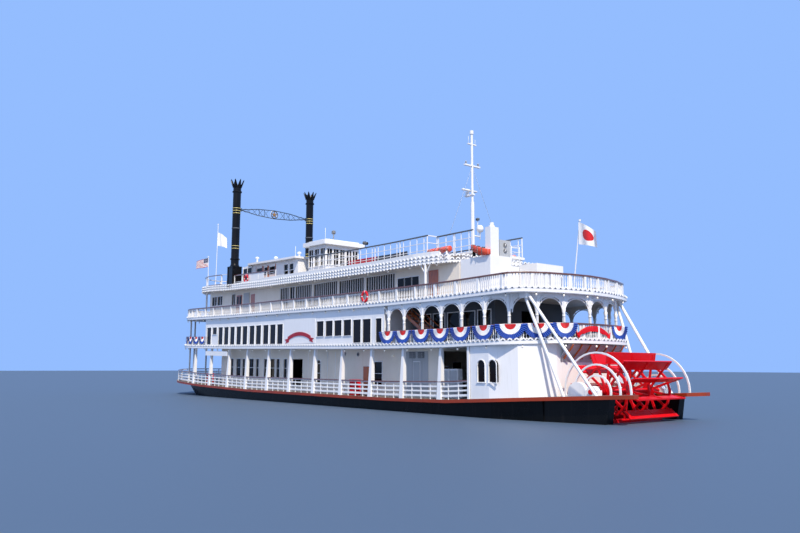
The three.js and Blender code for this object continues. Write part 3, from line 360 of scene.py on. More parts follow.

# %% [markdown]
# The windows are bronze tinted glass, nearly black from outside by day. Real panes show the dark room behind them, but
# clear glass would need furnished rooms, so a dark gloss with a slight ripple stands for both: its near-black colour is
# painted shade for the rooms. Galvanised steel has a crystalline spangle, which cells of varying gloss give, and an
# opal bulb glows faintly.

# %% Glass, steel and lamps
tinted_glass_and_room_shade, tree = new_material("bronze tinted glass with painted room shade")
ripple = relief(tree, noise(tree, on_surface(tree), 350, 1.0), 0.12, 0.01)
# Its near-black colour is painted shade: the unlit rooms behind the panes.
finished(tinted_glass_and_room_shade, "#140d0a", 0.06, {"IOR": 1.5, "Specular IOR Level": 0.18, "Normal": ripple})

galvanised, tree = new_material("galvanised steel")
spangle = add_node(tree, "ShaderNodeTexVoronoi", {"Vector": on_surface(tree), "Scale": millimetres(12)})
finished(galvanised, "#5f666c", remap(tree, spangle.outputs["Distance"], 0.0, 1.0, 0.35, 0.6), {"Metallic": 1.0})

lamp_glass, tree = new_material("opal lamp glass")
finished(lamp_glass, "#f6f1e6", 0.2, {"IOR": 1.5, "Emission Color": linear("#fff0d0"), "Emission Strength": 0.08})
print("glass, steel and lamp glass made")

# %% [markdown]
# Flags and bunting are woven polyester, dull with a soft sheen. The weave is far too fine to show, so it is drawn
# at 8 mm. Thin cloth lets some light through; bright colours stand for that here.


# %% Cloth
def woven(name, colour, shade):
    """Plain-woven polyester in one colour."""
    material, tree = new_material(name)
    spot = on_surface(tree)
    across, upright = (
        add_node(tree, "ShaderNodeTexWave", {"Vector": spot, "Scale": millimetres(8) / 6}, bands_direction=axis)
        for axis in "XZ"
    )
    threads = combine(tree, "MULTIPLY", across.outputs["Fac"], upright.outputs["Fac"])
    tone = blend(tree, noise(tree, spot, 120, 3.0), colour, shade)
    return finished(material, tone, 0.85, {"Sheen Weight": 0.25, "Normal": relief(tree, threads, 0.3, 0.001)})


RED_CLOTH = woven("red bunting cloth", "#dd1420", "#b80f1a")
WHITE_CLOTH = woven("white bunting cloth", "#f7f6f3", "#e2e1de")
STRIPE_CLOTH = woven("deep red flag cloth", "#a80c18", "#8c0a14")
NAVY_CLOTH = woven("navy flag cloth", "#16285c", "#101d46")
BLUE_CLOTH = woven("blue bunting cloth", "#1b50b4", "#103a88")
print(len(bpy.data.materials), "materials in all")

# %% [markdown]
# ## Paint for the solids
# Each solid of the model keeps its shape and gets the finish that its real counterpart has, except that the lounge's
# dark grey is painted shade and the houses' cream is partly painted bounce light.

# %% Paint for the solids
FINISHES = {
    hull_paint: ("hull", "sponson_port", "sponson_stbd"),
    BLACK: ("rudder_port", "rudder_stbd", "chimney_base_port", "chimney_base_stbd", "chimney_port", "chimney_stbd"),
    BROWN_DECK: ("main_deck",),
    WHITE_DECK: ("deck_2", "deck_3", "deck_4", "sun_deck"),
    RED: ("paddle_wheel",),
    # The cream of both houses is partly painted bounce light.
    CREAM: ("house_3", "main_house"),
    GREY: ("engine", "vent_unit"),
    # The lounge's dark grey is painted shade: its walls stand deep in shade behind the arcade.
    DARK_GREY_AND_PAINTED_SHADE: ("lounge_2",),
    galvanised: ("chimney_brace",),
}
FINISH_OF = {name: finish for finish, names in FINISHES.items() for name in names}
for name, node in frame["nodes"].items():
    finish = FINISH_OF.get(name, DOOR_WOOD if "door" in name else WHITE)
    node.data.materials.clear()
    node.data.materials.append(finish)
print(len(frame["nodes"]), "solids painted")

# %% [markdown]
# ## Gathering small parts
# A ship carries thousands of balusters, bars and brackets. Making each one its own object would be slow, so a
# collector keeps corners and faces in ship metres and turns a whole row into one mesh. The pieces stay separate
# shells inside it, as they would be when bolted on.


# %% Collector for small parts
class Shape:
    """Corners and faces in metres of the ship, each face with the number of its finish."""

    def __init__(self):
        self.corners, self.faces, self.finishes = [], [], []

    def add(self, corners, faces, finish=0):
        first = len(self.corners)
        self.corners += corners
        self.faces += [[first + i for i in face] for face in faces]
        self.finishes += [finish] * len(faces)


BOX_FACES = [(0, 1, 3, 2), (4, 6, 7, 5), (0, 4, 5, 1), (2, 3, 7, 6), (0, 2, 6, 4), (1, 5, 7, 3)]


def block(shape, x0, x1, y0, y1, z0, z1, finish=0):
    shape.add([(x, y, z) for x in (x0, x1) for y in (y0, y1) for z in (z0, z1)], BOX_FACES, finish)


def tube_faces(rings, sides):
    faces = [list(range(sides)), list(range((rings - 1) * sides, rings * sides))]
    for ring in range(rings - 1):
        for i in range(sides):
            j = (i + 1) % sides
            faces.append([ring * sides + i, ring * sides + j, (ring + 1) * sides + j, (ring + 1) * sides + i])
    return faces


def rod(shape, start, end, radius, sides=6, finish=0, tip=None):
    """A round bar, which may taper to another radius."""
    start, end = Vector(start), Vector(end)
    turn = (end - start).to_track_quat("Z", "Y")
    corners = []
    for middle, size in ((start, radius), (end, radius if tip is None else tip)):
        for i in range(sides):
            angle = 2 * math.pi * (i + 0.5) / sides
            corners.append(tuple(middle + turn @ Vector((size * math.cos(angle), size * math.sin(angle), 0))))
    shape.add(corners, tube_faces(2, sides), finish)


def turned(shape, x, y, z, profile, sides=8, finish=0, rows=None):
    """A lathe-turned form on an upright axis: radius and height pairs, and the finish of each row if they differ."""
    corners = []
    for radius, height in profile:
        for i in range(sides):
            angle = 2 * math.pi * i / sides
            corners.append((x + radius * math.cos(angle), y + radius * math.sin(angle), z + height))
    faces = tube_faces(len(profile), sides)
    shape.add(corners, faces, finish)
    if rows:
        for row, number in rows.items():
            first = len(shape.finishes) - len(faces) + 2 + row * sides
            shape.finishes[first : first + sides] = [number] * sides


def sweep(shape, path, outline, finish=0, closed=False):
    """A moulding: an outline of sideways and upward offsets carried along a path, mitred at its bends."""
    points = [Vector(p) for p in path]
    count, sides = len(points), len(outline)
    corners = []
    for i, point in enumerate(points):
        before = points[i - 1] if closed or i else None
        after = points[(i + 1) % count] if closed or i < count - 1 else None
        legs = [(a, b) for a, b in ((before, point), (point, after)) if a is not None and b is not None]
        runs = [(b - a).xy.normalized() for a, b in legs]
        along = sum(runs, Vector((0, 0))).normalized()
        mitre = 1 / max(0.5, along.dot(runs[0]))
        for side, up in outline:
            corners.append((point.x - along.y * side * mitre, point.y + along.x * side * mitre, point.z + up))
    faces = tube_faces(count, sides)
    if closed:
        faces = faces[2:] + [
            [(count - 1) * sides + i, (count - 1) * sides + (i + 1) % sides, (i + 1) % sides, i] for i in range(sides)
        ]
    shape.add(corners, faces, finish)


def piece(name, shape, finishes, body="ship", bevel=0.0, corner=35):
    """One object from a collector, riding on a body, with its edges eased by a bevel in ship metres."""
    mesh = bpy.data.meshes.new(name)
    mesh.from_pydata([place(*corner_at) for corner_at in shape.corners], [], shape.faces)
    for finish in finishes:
        mesh.materials.append(finish)
    mesh.polygons.foreach_set("material_index", shape.finishes)
    tidy = bmesh.new()
    tidy.from_mesh(mesh)
    bmesh.ops.recalc_face_normals(tidy, faces=tidy.faces)
    if bevel:
        bmesh.ops.bevel(tidy, geom=tidy.edges[:], offset=bevel * HALF, segments=1, affect="EDGES", clamp_overlap=True)
    tidy.to_mesh(mesh)
    tidy.free()
    mesh.polygons.foreach_set("use_smooth", [True] * len(mesh.polygons))
    mesh.set_sharp_from_angle(angle=math.radians(corner))
    thing = bpy.data.objects.new(name, mesh)
    bpy.context.collection.objects.link(thing)
    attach(thing, body)
    print(name, len(mesh.polygons), "faces")
    return thing


# %% [markdown]
# ## Edges of the decks
# Rails, trims and lamps follow the decks' edges, so each edge is one line of points: round the stern, along the
# side and round the bow. Walking along it at even steps gives the places of balusters and lamps.

# %% Deck edges
STERN_2 = [(4.4, 0), (4.5, 1.8), (4.75, 3.0), (5.2, 3.6), (5.9, 4.2), (6.6, 4.85), (7.3, HALF_BEAM)]
STERN_3 = [(4.9, 0), (5.05, 1.8), (5.45, 3.6), (5.95, 4.9), (6.6, HALF_BEAM)]
STERN_4 = [(12.3, 0), (12.3, 3.5), (12.9, 4.15), (14.2, 4.55), (15.8, 4.75)]


def bow_curve(bow, reach, half, inset, ends=0.85, steps=14):
    points = []
    for i in range(steps + 1):
        turn = i / steps * math.pi / 2
        y = 0 if i == steps else (half - inset) * math.cos(turn) ** ends
        points.append((bow - reach + (reach - inset) * math.sin(turn) ** 0.9, y))
    return points


def both_sides(port):
    """Port half of an edge, from the stern's middle to the bow's middle, made whole."""
    return port + [(x, -y) for x, y in reversed(port) if abs(y) > 1e-6]


def lifted(points, line, height):
    return [(x, y, line(x) + height) for x, y in points]


def densified(points, step=1.5):
    """Extra points on long runs, so that a moulding follows the deck's rise."""
    out = [points[0]]
    for (x0, y0), (x1, y1) in zip(points, points[1:]):
        count = max(1, round(math.hypot(x1 - x0, y1 - y0) / step))
        out += [(x0 + (x1 - x0) * i / count, y0 + (y1 - y0) * i / count) for i in range(1, count + 1)]
    return out


def walk(points, step, start=0.0):
    """Places at even steps along a line, each with the direction of the line there."""
    places, due = [], start
    for (x0, y0), (x1, y1) in zip(points, points[1:]):
        long = math.hypot(x1 - x0, y1 - y0)
        while due <= long and long > 0:
            share = due / long
            x, y = x0 + (x1 - x0) * share, y0 + (y1 - y0) * share
            places.append((x, y, (x1 - x0) / long, (y1 - y0) / long))
            due += step
        due -= long
    return places


def stern_run(points, inset):
    return [(x + inset, max(y - inset, 0)) for x, y in points]


BOW_1 = bow_curve(59, 7.4, HALF_BEAM, 0.16)
BOW_2 = bow_curve(57.2, 7.4, HALF_BEAM, 0.16)
BOW_3 = bow_curve(56.8, 7.2, HALF_BEAM, 0.12)
BOW_4 = bow_curve(56.2, 10.2, 4.75, 0.3, 1.2)
EDGE_2 = densified(stern_run(STERN_2, 0) + bow_curve(57.2, 7.4, HALF_BEAM, 0))
EDGE_3 = densified(stern_run(STERN_3, 0) + bow_curve(56.8, 7.2, HALF_BEAM, 0))
EDGE_4 = densified(stern_run(STERN_4, 0) + bow_curve(56.2, 10.2, 4.75, 0, 1.2))
print("deck edges:", len(EDGE_2), len(EDGE_3), len(EDGE_4), "points a side")

# %% [markdown]
# ## Balustrades
# The upper decks have turned balusters between a low rail and a mahogany handrail; forward on the third deck they
# are slender bars. A baluster is turned on a lathe, so a profile of radii and heights spun in six steps gives it,
# and each rail is one row. Every few metres a square newel post is thicker than the balusters.

# %% Balusters and handrails
BALUSTER = [
    (0.036, 0.13), (0.036, 0.22), (0.02, 0.26), (0.042, 0.37),
    (0.028, 0.5), (0.018, 0.68), (0.032, 0.76), (0.032, 0.91),
]
HANDRAIL = [(-0.085, 0.895), (-0.085, 0.965), (-0.06, 0.995), (0.06, 0.995), (0.085, 0.965), (0.085, 0.895)]
SPACING = 0.17
SLENDER = {"forward_of": 26, "share": 0.6}  # on the third deck


def balustrade(name, line, floor, posts=1.28):
    shape = Shape()
    for x, y, _, _ in walk(line, SPACING, 0.08):
        slender = SLENDER["share"] if floor == FLOOR_3 and x > SLENDER["forward_of"] else 1
        turned(shape, x, y, floor + rise(x), [(radius * slender, h) for radius, h in BALUSTER], sides=6)
    for x, y, ax, ay in walk(line, posts, 0.1):
        post = [(-0.08, 0.07), (0.08, 0.07), (0.08, -0.07), (-0.08, -0.07)]
        corners = [(x + ax * a - ay * b, y + ay * a + ax * b, floor + rise(x) + h) for h in (0.0, 0.9) for a, b in post]
        shape.add(corners, tube_faces(2, 4))
    sweep(shape, lifted(densified(line), rise, floor), HANDRAIL, 1)
    return piece(name, shape, [WHITE, RAIL_WOOD], corner=50)


SIDE_3 = [(7.1, 5.28), (49.62, 5.28)]
for side, label in ((1, "port"), (-1, "stbd")):
    balustrade(f"deck_3_balusters_{label}", [(x, y * side) for x, y in SIDE_3], FLOOR_3, posts=1.926)
    balustrade(f"arcade_balusters_{label}", [(7.4, 5.24 * side), (18.2, 5.24 * side)], FLOOR_2, posts=1.875)
forward_3 = [p for p in BOW_3 if p[0] > 49.7]
balustrade("deck_3_bow_balusters", both_sides([(49.65, 5.28)] + forward_3), FLOOR_3)
forward_2 = [(47.75, 5.24), (49.7, 5.24)] + [p for p in BOW_2 if p[0] > 49.9]
balustrade("deck_2_bow_balusters", both_sides(forward_2), FLOOR_2)
aft_2 = stern_run(STERN_2, 0.16)
balustrade("balcony_balusters", [(x, -y) for x, y in reversed(aft_2)] + aft_2[1:], FLOOR_2)
aft_3 = stern_run(STERN_3, 0.16) + [(7.06, 5.26)]
balustrade("deck_3_aft_balusters", [(x, -y) for x, y in reversed(aft_3)] + aft_3[1:], FLOOR_3)

# %% [markdown]
# ## Windows
# A ship's window is a sheet of glass in a slim frame, split by muntins into panes. The openings are already cut in
# the walls, so each gets a pane set back in the wall, a frame round it and its muntins. Working in the wall's own
# axes, along it, out of it and up, makes one function fit every wall.


# %% Windows
def wall_block(shape, wall, a0, a1, n0, n1, z0, z1, finish=0):
    """A block on a wall: wall is a point and the wall's direction, and out is to the right of that direction."""
    x, y, ax, ay = wall
    corners = [(x + ax * a + ay * n, y + ay * a - ax * n, z) for a in (a0, a1) for n in (n0, n1) for z in (z0, z1)]
    shape.add(corners, BOX_FACES, finish)


PANE = 0.02  # thickness of the glass


def window(
    shape, wall, wide, low, high, columns=1, rows=1, arch=False,
    trim=0.06, frame=0, glass=1, bars=0, bar=0.035, deep=0.055,
):
    """A pane set deep into the wall, its frame, sill and muntins; an arch adds a half disc on top."""
    half = wide / 2
    top = high + (half if arch else 0)
    wall_block(shape, wall, -half - 0.005, half + 0.005, -deep - PANE, -deep, low - 0.005, high + 0.005, glass)
    if arch:
        x, y, ax, ay = wall
        arc = [(half * math.cos(math.pi * i / 10), high + half * math.sin(math.pi * i / 10)) for i in range(11)]
        disc = [(x + ax * a + ay * n, y + ay * a - ax * n, z) for n in (-deep - PANE, -deep) for a, z in arc]
        shape.add(disc, tube_faces(2, 11), glass)
        hoop = []
        for grow, out in ((0.0, -0.06), (0.0, 0.035), (trim, 0.035), (trim, 0.0)):
            wider = (half + grow) / half
            hoop.append([(wider * a, high + wider * (z - high), out) for a, z in arc])
        rings = [row[i] for i in range(11) for row in hoop]
        corners = [(x + ax * a + ay * n, y + ay * a - ax * n, z) for a, z, n in rings]
        shape.add(corners, tube_faces(11, 4), frame)
    for a0, a1 in ((-half - trim, -half), (half, half + trim)):
        wall_block(shape, wall, a0, a1, 0.0, 0.035, low, high, frame)
    wall_block(shape, wall, -half - trim * 1.3, half + trim * 1.3, 0.0, 0.06, low - trim, low, frame)
    if not arch:
        wall_block(shape, wall, -half - trim, half + trim, 0.0, 0.045, high, high + trim, frame)
    bar_top = top - (0.02 if arch else 0)
    for i in range(1, columns):
        middle = -half + wide * i / columns
        wall_block(shape, wall, middle - bar / 2, middle + bar / 2, -deep - 0.005, -0.005, low, bar_top, bars)
    for i in range(1, rows + (1 if arch else 0)):
        level = low + (high - low) * i / rows
        wall_block(shape, wall, -half, half, -deep - 0.005, -0.01, level - bar / 2, level + bar / 2, bars)


def side_walls(half):
    """Both side walls, port first, as points and directions for a given x."""
    return [lambda x: (x, half, -1, 0), lambda x: (x, -half, 1, 0)]


def windows_at(shape, wall, places, wide, floor, low, high, line=rise, **more):
    """One window at each place along a wall, its sill and head at heights over a floor."""
    for x in places:
        base = floor + line(x)
        window(shape, wall(x), wide, base + low, base + high, **more)


HOUSE_2_WINDOWS = [
    ((46.7, 44.08, 42.83, 41.54, 40.23, 39.0, 37.63, 36.41, 35.08, 33.84, 32.62), 0.95, 0.22, 1.86),
    ((45.41,), 0.95, 1.2, 1.86),
    ((26.39, 25.13, 23.94, 22.71), 0.97, 0.78, 1.93),
    ((21.5, 20.31), 0.95, 0.25, 1.9),
    ((18.9,), 0.66, 0.25, 1.9),
]
house_2_windows = Shape()
for wall in side_walls(5.22):
    for places, wide, low, high in HOUSE_2_WINDOWS:
        windows_at(house_2_windows, wall, places, wide, FLOOR_2, low, high, trim=0.025, deep=0.01)
for y in (-3.6, -1.8, 0, 1.8, 3.6):
    window(house_2_windows, (47.6, y, 0, 1), 1.2, FLOOR_2 + 0.9, FLOOR_2 + 2.3, columns=2)
piece("house_2_windows", house_2_windows, [WHITE, tinted_glass_and_room_shade])

house_3_windows = Shape()
for wall in side_walls(3.7):
    for x, wide in ((20.78, 3.45), (24.45, 3.3), (28.12, 3.45), (31.5, 2.6), (34.68, 1.45)):
        low = FLOOR_3 + rise(x)
        window(house_3_windows, wall(x), wide, low + 0.5, low + 2.25, columns=round(wide / 0.29), bar=0.045)
        wall_block(house_3_windows, wall(x), -wide / 2, wide / 2, -0.05, -0.01, low + 1.02, low + 1.08, 0)
    windows_at(house_3_windows, wall, (33.35, 44.7), 0.8, FLOOR_3, 1.1, 2.25, columns=2)
    windows_at(house_3_windows, wall, (47.8, 49.1), 1.15, FLOOR_3, 1.3, 2.2, columns=2)
for y in (-2.2, 0, 2.2):
    window(house_3_windows, (50.2, y, 0, 1), 1.4, FLOOR_3 + 1.5, FLOOR_3 + 2.4, columns=2)
for wall in side_walls(3.7):
    windows_at(house_3_windows, wall, (16.75, 17.55, 18.35), 0.72, FLOOR_3, 0.35, 1.85, deep=-0.02)
window(house_3_windows, (12.3, -1.6, 0, -1), 1.56, 9.22, FLOOR_3 + 2.14, columns=3)
piece("house_3_windows", house_3_windows, [WHITE, tinted_glass_and_room_shade, GREY])

main_windows = Shape()
for wall in side_walls(3.9):
    window(main_windows, wall(20.7), 0.95, 1.63, 3.26, rows=2)
    window(main_windows, wall(28.6), 0.58, 1.47 + rise(28.6), 2.99 + rise(28.6), arch=True, rows=2)
    for x in (33.9, 35.17, 38.95, 41.67, 44.1):
        window(main_windows, wall(x), 0.56, 1.85 + rise(x) / 2, 3.42 + rise(x) / 2, rows=2)
    for x in (36.2, 37.25, 40.15, 42.75):
        window(main_windows, wall(x), 0.92, 1.85 + rise(x) / 2, 3.42 + rise(x) / 2, rows=2)
for y in (-2.4, -0.8, 0.8, 2.4):
    window(main_windows, (46.5, y, 0, 1), 0.9, 1.9, 3.5, rows=2)
piece("main_house_windows", main_windows, [WHITE, tinted_glass_and_room_shade])

engine_windows = Shape()
for wall in side_walls(5.25):
    for x in (8.09, 9.0):
        window(engine_windows, wall(x), 0.6, 2.05, 3.03, arch=True, trim=0.045, bars=1)
piece("engine_house_windows", engine_windows, [WHITE, tinted_glass_and_room_shade])

upper_windows = Shape()
for wall in side_walls(2.3):
    for places, wide in (((39.6, 42.15), 1.15), ((36, 37, 40.87), 0.7)):
        windows_at(upper_windows, wall, places, wide, FLOOR_4, 1.5, 2.3, line=top_rise)
for wall in side_walls(1.75):
    windows_at(
        upper_windows, wall, (31.65, 32.6, 33.55), 0.7, FLOOR_SUN, 0.9, 2.4, line=top_rise, columns=2, rows=3
    )
sill = FLOOR_SUN + top_rise(34) + 0.9
for x, direction in ((31.2, -1), (34.0, 1)):
    for y in (-1.35, -0.68, 0, 0.68, 1.35):
        window(upper_windows, (x, y, 0, direction), 0.52, sill, sill + 1.4, columns=2, rows=3)
for wall in side_walls(3.3):
    windows_at(upper_windows, wall, (10.6, 12, 13.4, 14.8, 16.2), 1.1, FLOOR_2, 0.8, 2.1)
piece("upper_house_windows", upper_windows, [WHITE, tinted_glass_and_room_shade])

# %% [markdown]
# ## Chimneys
# The twin chimneys are rolled steel pipes in black gloss with gold bands, a collar below the crown and eight
# pointed leaves that lean outward. Bands are short turned rings a few millimetres proud, so they catch the light.

# %% Chimney bands
CHIMNEY = {"x": 43.7, "y": 4.2, "radius": 0.385, "top": 21.3}
GOLD_BANDS = [18.37, 18.12, 17.87, 14.6, 14.34]


def ring_round(shape, x, y, level, proud, half, finish):
    """A hoop round a chimney, rounded on its outside."""
    inner, outer = CHIMNEY["radius"] - 0.03, CHIMNEY["radius"] + proud
    profile = [(inner, -half), (outer - 0.008, -half), (outer, 0), (outer - 0.008, half), (inner, half)]
    turned(shape, x, y, level, profile, 32, finish)


for side, label in ((1, "port"), (-1, "stbd")):
    bands = Shape()
    x, y = CHIMNEY["x"], CHIMNEY["y"] * side
    for level in GOLD_BANDS:
        ring_round(bands, x, y, level, 0.025, 0.022, 0)
    ring_round(bands, x, y, 16.36, 0.035, 0.05, 1)
    for level in (20.04, 13.3):
        ring_round(bands, x, y, level, 0.08, 0.06, 2)
    for i in range(8):
        angle = math.radians(45 * i)
        lean = [(math.cos(angle) * r, math.sin(angle) * r) for r in (0.41, 0.69)]
        foot_of_leaf = (x + lean[0][0], y + lean[0][1], 20.5)
        rod(bands, foot_of_leaf, (x + lean[1][0], y + lean[1][1], 21.24), 0.055, 6, 2, tip=0.02)
    foot = FLOOR_4 + 2.1 + top_rise(x)
    turned(bands, x, y, foot, [(0.45, 0), (0.45, 0.08), (0.43, 0.16), (0.39, 0.3)], 32, 2)
    for a in (-0.5, 0.5):
        for b in (-0.45, 0.45):
            block(bands, x + a - 0.05, x + a + 0.05, y + b - 0.05, y + b + 0.05, foot - 2.08, foot + 0.03, 2)
    for low, high in ((-0.06, 0.04), (-2.08, -1.98)):
        block(bands, x - 0.56, x + 0.56, y - 0.51, y + 0.51, foot + low, foot + high, 2)
    piece(f"chimney_bands_{label}", bands, [GOLD, DARK_GREY_AND_PAINTED_SHADE, BLACK])

# %% [markdown]
# A latticed brace ties the chimneys together high up, with a round medallion and a star in its middle. The solid
# holds its two bowed chords. Crossing bars between them, thin enough to be rods, are quicker as mesh, and the star
# is a fan of triangles round a raised boss.

# %% Brace between the chimneys
BRACE = {"reach": 3.8, "level": 18.3, "bow": 0.42, "bays": 6}
brace = Shape()
x, level = CHIMNEY["x"], BRACE["level"]


def bow_at(y):
    """How far the brace's chord stands off its middle line."""
    share = abs(y) / BRACE["reach"]
    return BRACE["bow"] * (1 - share ** 2) ** 0.75 if share < 1 else 0


for i in range(-BRACE["bays"], BRACE["bays"]):
    y0, y1 = (BRACE["reach"] * (i + k) / BRACE["bays"] for k in (0, 1))
    if abs(y0 + y1) > 0.7:  # the medallion's place stays free
        for flip in (1, -1):
            rod(brace, (x, y0, level + flip * bow_at(y0)), (x, y1, level - flip * bow_at(y1)), 0.018, 4, 0)
for radius in (0.41, 0.34):
    hoop = [(math.cos(math.pi * i / 16) * radius, math.sin(math.pi * i / 16) * radius) for i in range(32)]
    for (a, b), (c, d) in zip(hoop, hoop[1:] + hoop[:1]):
        rod(brace, (x, a, level + b), (x, c, level + d), 0.025, 5, 1)
for front in (-0.045, 0.045):
    star = []
    for i in range(10):
        radius = 0.14 if i % 2 else 0.33
        star.append((x + front, radius * math.sin(i * math.pi / 5), level + radius * math.cos(i * math.pi / 5)))
    star += [(x + front * 2, 0, level), (x, 0, level)]
    brace.add(star, [[i, (i + 1) % 10, 10] for i in range(10)] + [[(i + 1) % 10, i, 11] for i in range(10)], 2)
piece("chimney_brace_lattice", brace, [galvanised, WHITE, BRONZE])

# %% [markdown]
# ## Flags
# A flag is a sheet of thin cloth that ripples away from its staff. A grid is bent into waves that grow towards the
# fly, and each step along it is as long as on the flat cloth; the fly is drawn shorter where real cloth would fold
# as it droops. Whole faces take the colours, which puts the disc, the stripes and the canton in without a picture.


# %% Flags
def flag(
    name, staff_x, staff_y, foot, turn, wide, tall, paint, finishes, cells=(48, 30), sway=0.12, sag=(0.1, 0.1)
):
    """A rippling flag that droops by sag at its lower and upper fly; paint gives a cell's finish from its place."""
    across, up = cells
    angle = math.radians(turn + 180)
    ahead, sideways = Vector((math.cos(angle), math.sin(angle))), Vector((-math.sin(angle), math.cos(angle)))
    corners, finish_of = [], []
    for j in range(up + 1):
        v = j / up
        run, bend = 0.0, 0.0
        for i in range(across + 1):
            u = i / across
            heading = sway * 6.3 * u ** 0.5 * math.cos(2 * math.pi * (1.4 * u + 0.12 * v) + 0.4)
            if i:
                run += wide / across * math.cos(heading)
                bend += wide / across * math.sin(heading)
            spot = Vector((staff_x, staff_y)) + ahead * (0.045 + run) + sideways * bend
            droop = (sag[0] + (sag[1] - sag[0]) * v) * u ** 1.3 + 0.03 * u * math.sin(2 * math.pi * (u + 0.5 * v))
            corners.append((spot.x, spot.y, foot + tall * v - droop))
    cloth = Shape()
    for j in range(up):
        for i in range(across):
            a = j * (across + 1) + i
            cloth.faces.append([a, a + 1, a + across + 2, a + across + 1])
            cloth.finishes.append(paint((i + 0.5) / across, (j + 0.5) / up))
    cloth.corners = corners
    thing = piece(name, cloth, finishes, corner=180)
    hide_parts(name.replace("_cloth", "_flag"))
    return thing


def disc(u, v):
    return 1 if math.hypot((u - 0.5) * 1.3, (v - 0.5) * 1.35) < 0.37 else 0


def stripes(u, v):
    if u < 0.42 and v > 6 / 13:
        return 0 if int(u * 40) % 3 == 1 and int(v * 36) % 3 == 1 else 2
    return 1 if int(v * 13) % 2 == 0 else 0


staff = {"ensign": (6.35, 0, FLOOR_3), "bow": (53.0, 2.75, FLOOR_4), "jack": (55.0, 1.0, FLOOR_4)}
x, y, floor = staff["ensign"]
flag(
    "ensign_cloth", x - 0.5, y, floor + rise(x) + 3.0, 8, 1.3, 1.35, disc, [WHITE_CLOTH, RED_CLOTH],
    (60, 52), sag=(0.35, 0.75),
)
x, y, floor = staff["bow"]
flag(
    "bow_cloth", x, y, floor + top_rise(x) + 2.72, 228, 1.5, 1.0, stripes, [WHITE_CLOTH, STRIPE_CLOTH, NAVY_CLOTH],
    (80, 52), sag=(0.25, 0.4),
)
x, y, floor = staff["jack"]
flag(
    "jack_cloth", x, y, floor + top_rise(x) + 5.4, 50, 1.4, 1.5, lambda u, v: 0, [WHITE_CLOTH],
    sway=0.2, sag=(0.35, 0.75),
)

# %% [markdown]
# ## Bunting
# Half-round bunting fans in red, white and blue hang on the rails of the arcades, the balcony and the second deck's
# bow. A fan is a pleated strip gathered at the top, so its folds run out from the middle like rays, deep at the rim
# and shallow at the centre.


# %% Bunting
def fan(name, x, y, ax, ay, top, radius, rays=22, rings=9):
    """A pleated half disc of cloth that hangs from a rail, facing to the right of the rail's direction."""
    cloth = Shape()
    for j in range(rings + 1):
        r = radius * (0.04 + 0.96 * j / rings)
        for i in range(rays * 2 + 1):
            angle = math.pi * i / (rays * 2)
            fold = 0.03 * (j / rings) * (1 if i % 2 else -1)
            a, out = r * math.cos(angle), 0.115 + fold + 0.05 * (j / rings) ** 2
            cloth.corners.append((x + ax * a + ay * out, y + ay * a - ax * out, top - r * math.sin(angle) * 0.97))
    for j in range(rings):
        for i in range(rays * 2):
            a = j * (rays * 2 + 1) + i
            cloth.faces.append([a, a + 1, a + rays * 2 + 2, a + rays * 2 + 1])
            cloth.finishes.append(0 if j < 3 else 1 if j < 6 else 2)
    thing = piece(name, cloth, [RED_CLOTH, WHITE_CLOTH, BLUE_CLOTH], corner=20)
    return thing


ARCADE_COLUMNS = (17.76, 16.1, 14.25, 12.45, 10.6, 8.68)
fans = [(x, 5.24, -1, 0, "arcade_port") for x in ARCADE_COLUMNS]
fans += [(x, y, ax, ay, "balcony_rail") for x, y, ax, ay in (
    (7.0, 4.88, -0.786, -0.618), (5.83, 3.84, -0.76, -0.65), (4.9, 2.8, -0.2, -0.98), (4.74, -2.05, 0.06, -0.998))]
fans += [(x, 5.24, -1, 0, "deck_2_rail_bow") for x in (48.0, 49.5)]
fans += [(51.1, 5.16, -0.99, 0.1, "deck_2_rail_bow"), (52.6, 4.9, -0.95, 0.3, "deck_2_rail_bow")]
fans += [(x, -y, -ax, ay, rests.replace("port", "stbd")) for x, y, ax, ay, rests in fans if y > 3]
for number, (x, y, ax, ay, rests) in enumerate(fans):
    fan(f"bunting_{number}", x, y, ax, ay, FLOOR_2 + rise(x) + 0.96, 0.72 if x > 40 else 0.88)

# %% [markdown]
# ## Ribbon board and lace
# A blank board cut like a ribbon hangs on the balcony's rail, arched in the middle with two curled ends. It could
# be one bent strip, but short blocks end to end follow the arch well enough at this size.

# %% Ribbon board
BOARD = {"x": 4.5, "port_end": 2.0, "long": 2.85, "blocks": 18}
board = Shape()


def board_top(y):
    along = (BOARD["port_end"] - y) / BOARD["long"] * 2 - 1
    return FLOOR_2 + 0.95 - 0.42 * abs(along) ** 2.2


for i in range(BOARD["blocks"]):
    ends = [BOARD["port_end"] - BOARD["long"] * (i + k) / BOARD["blocks"] for k in (0, 1)]
    tall = 0.32 if 2 < i < BOARD["blocks"] - 3 else 0.256
    corners = [(BOARD["x"] + n, y, board_top(y) + h) for y in ends for n in (0.0, 0.04) for h in (-tall, 0)]
    board.add(corners, BOX_FACES, 0)
for y, sign in ((2.02, 1), (-0.87, -1)):
    for low, across, high, radius in ((0.42, -0.28, 0.08, 0.07), (0.25, 0.12, 0.62, 0.06)):
        rod(board, (4.52, y, FLOOR_2 + low), (4.52, y + across * sign, FLOOR_2 + high), radius, 6, 0, tip=0.03)
piece("scroll_board", board, [RED], bevel=0.008)

# %% [markdown]
# Small scallops in sawn steel trim the decks' edges like lace, above a moulding. They are alike, so one half disc is
# set down at even steps along each edge, with a small dark half disc on it as painted shade where a piercing would show
# the dark behind.

# %% Lace along the decks' edges

lace = Shape()


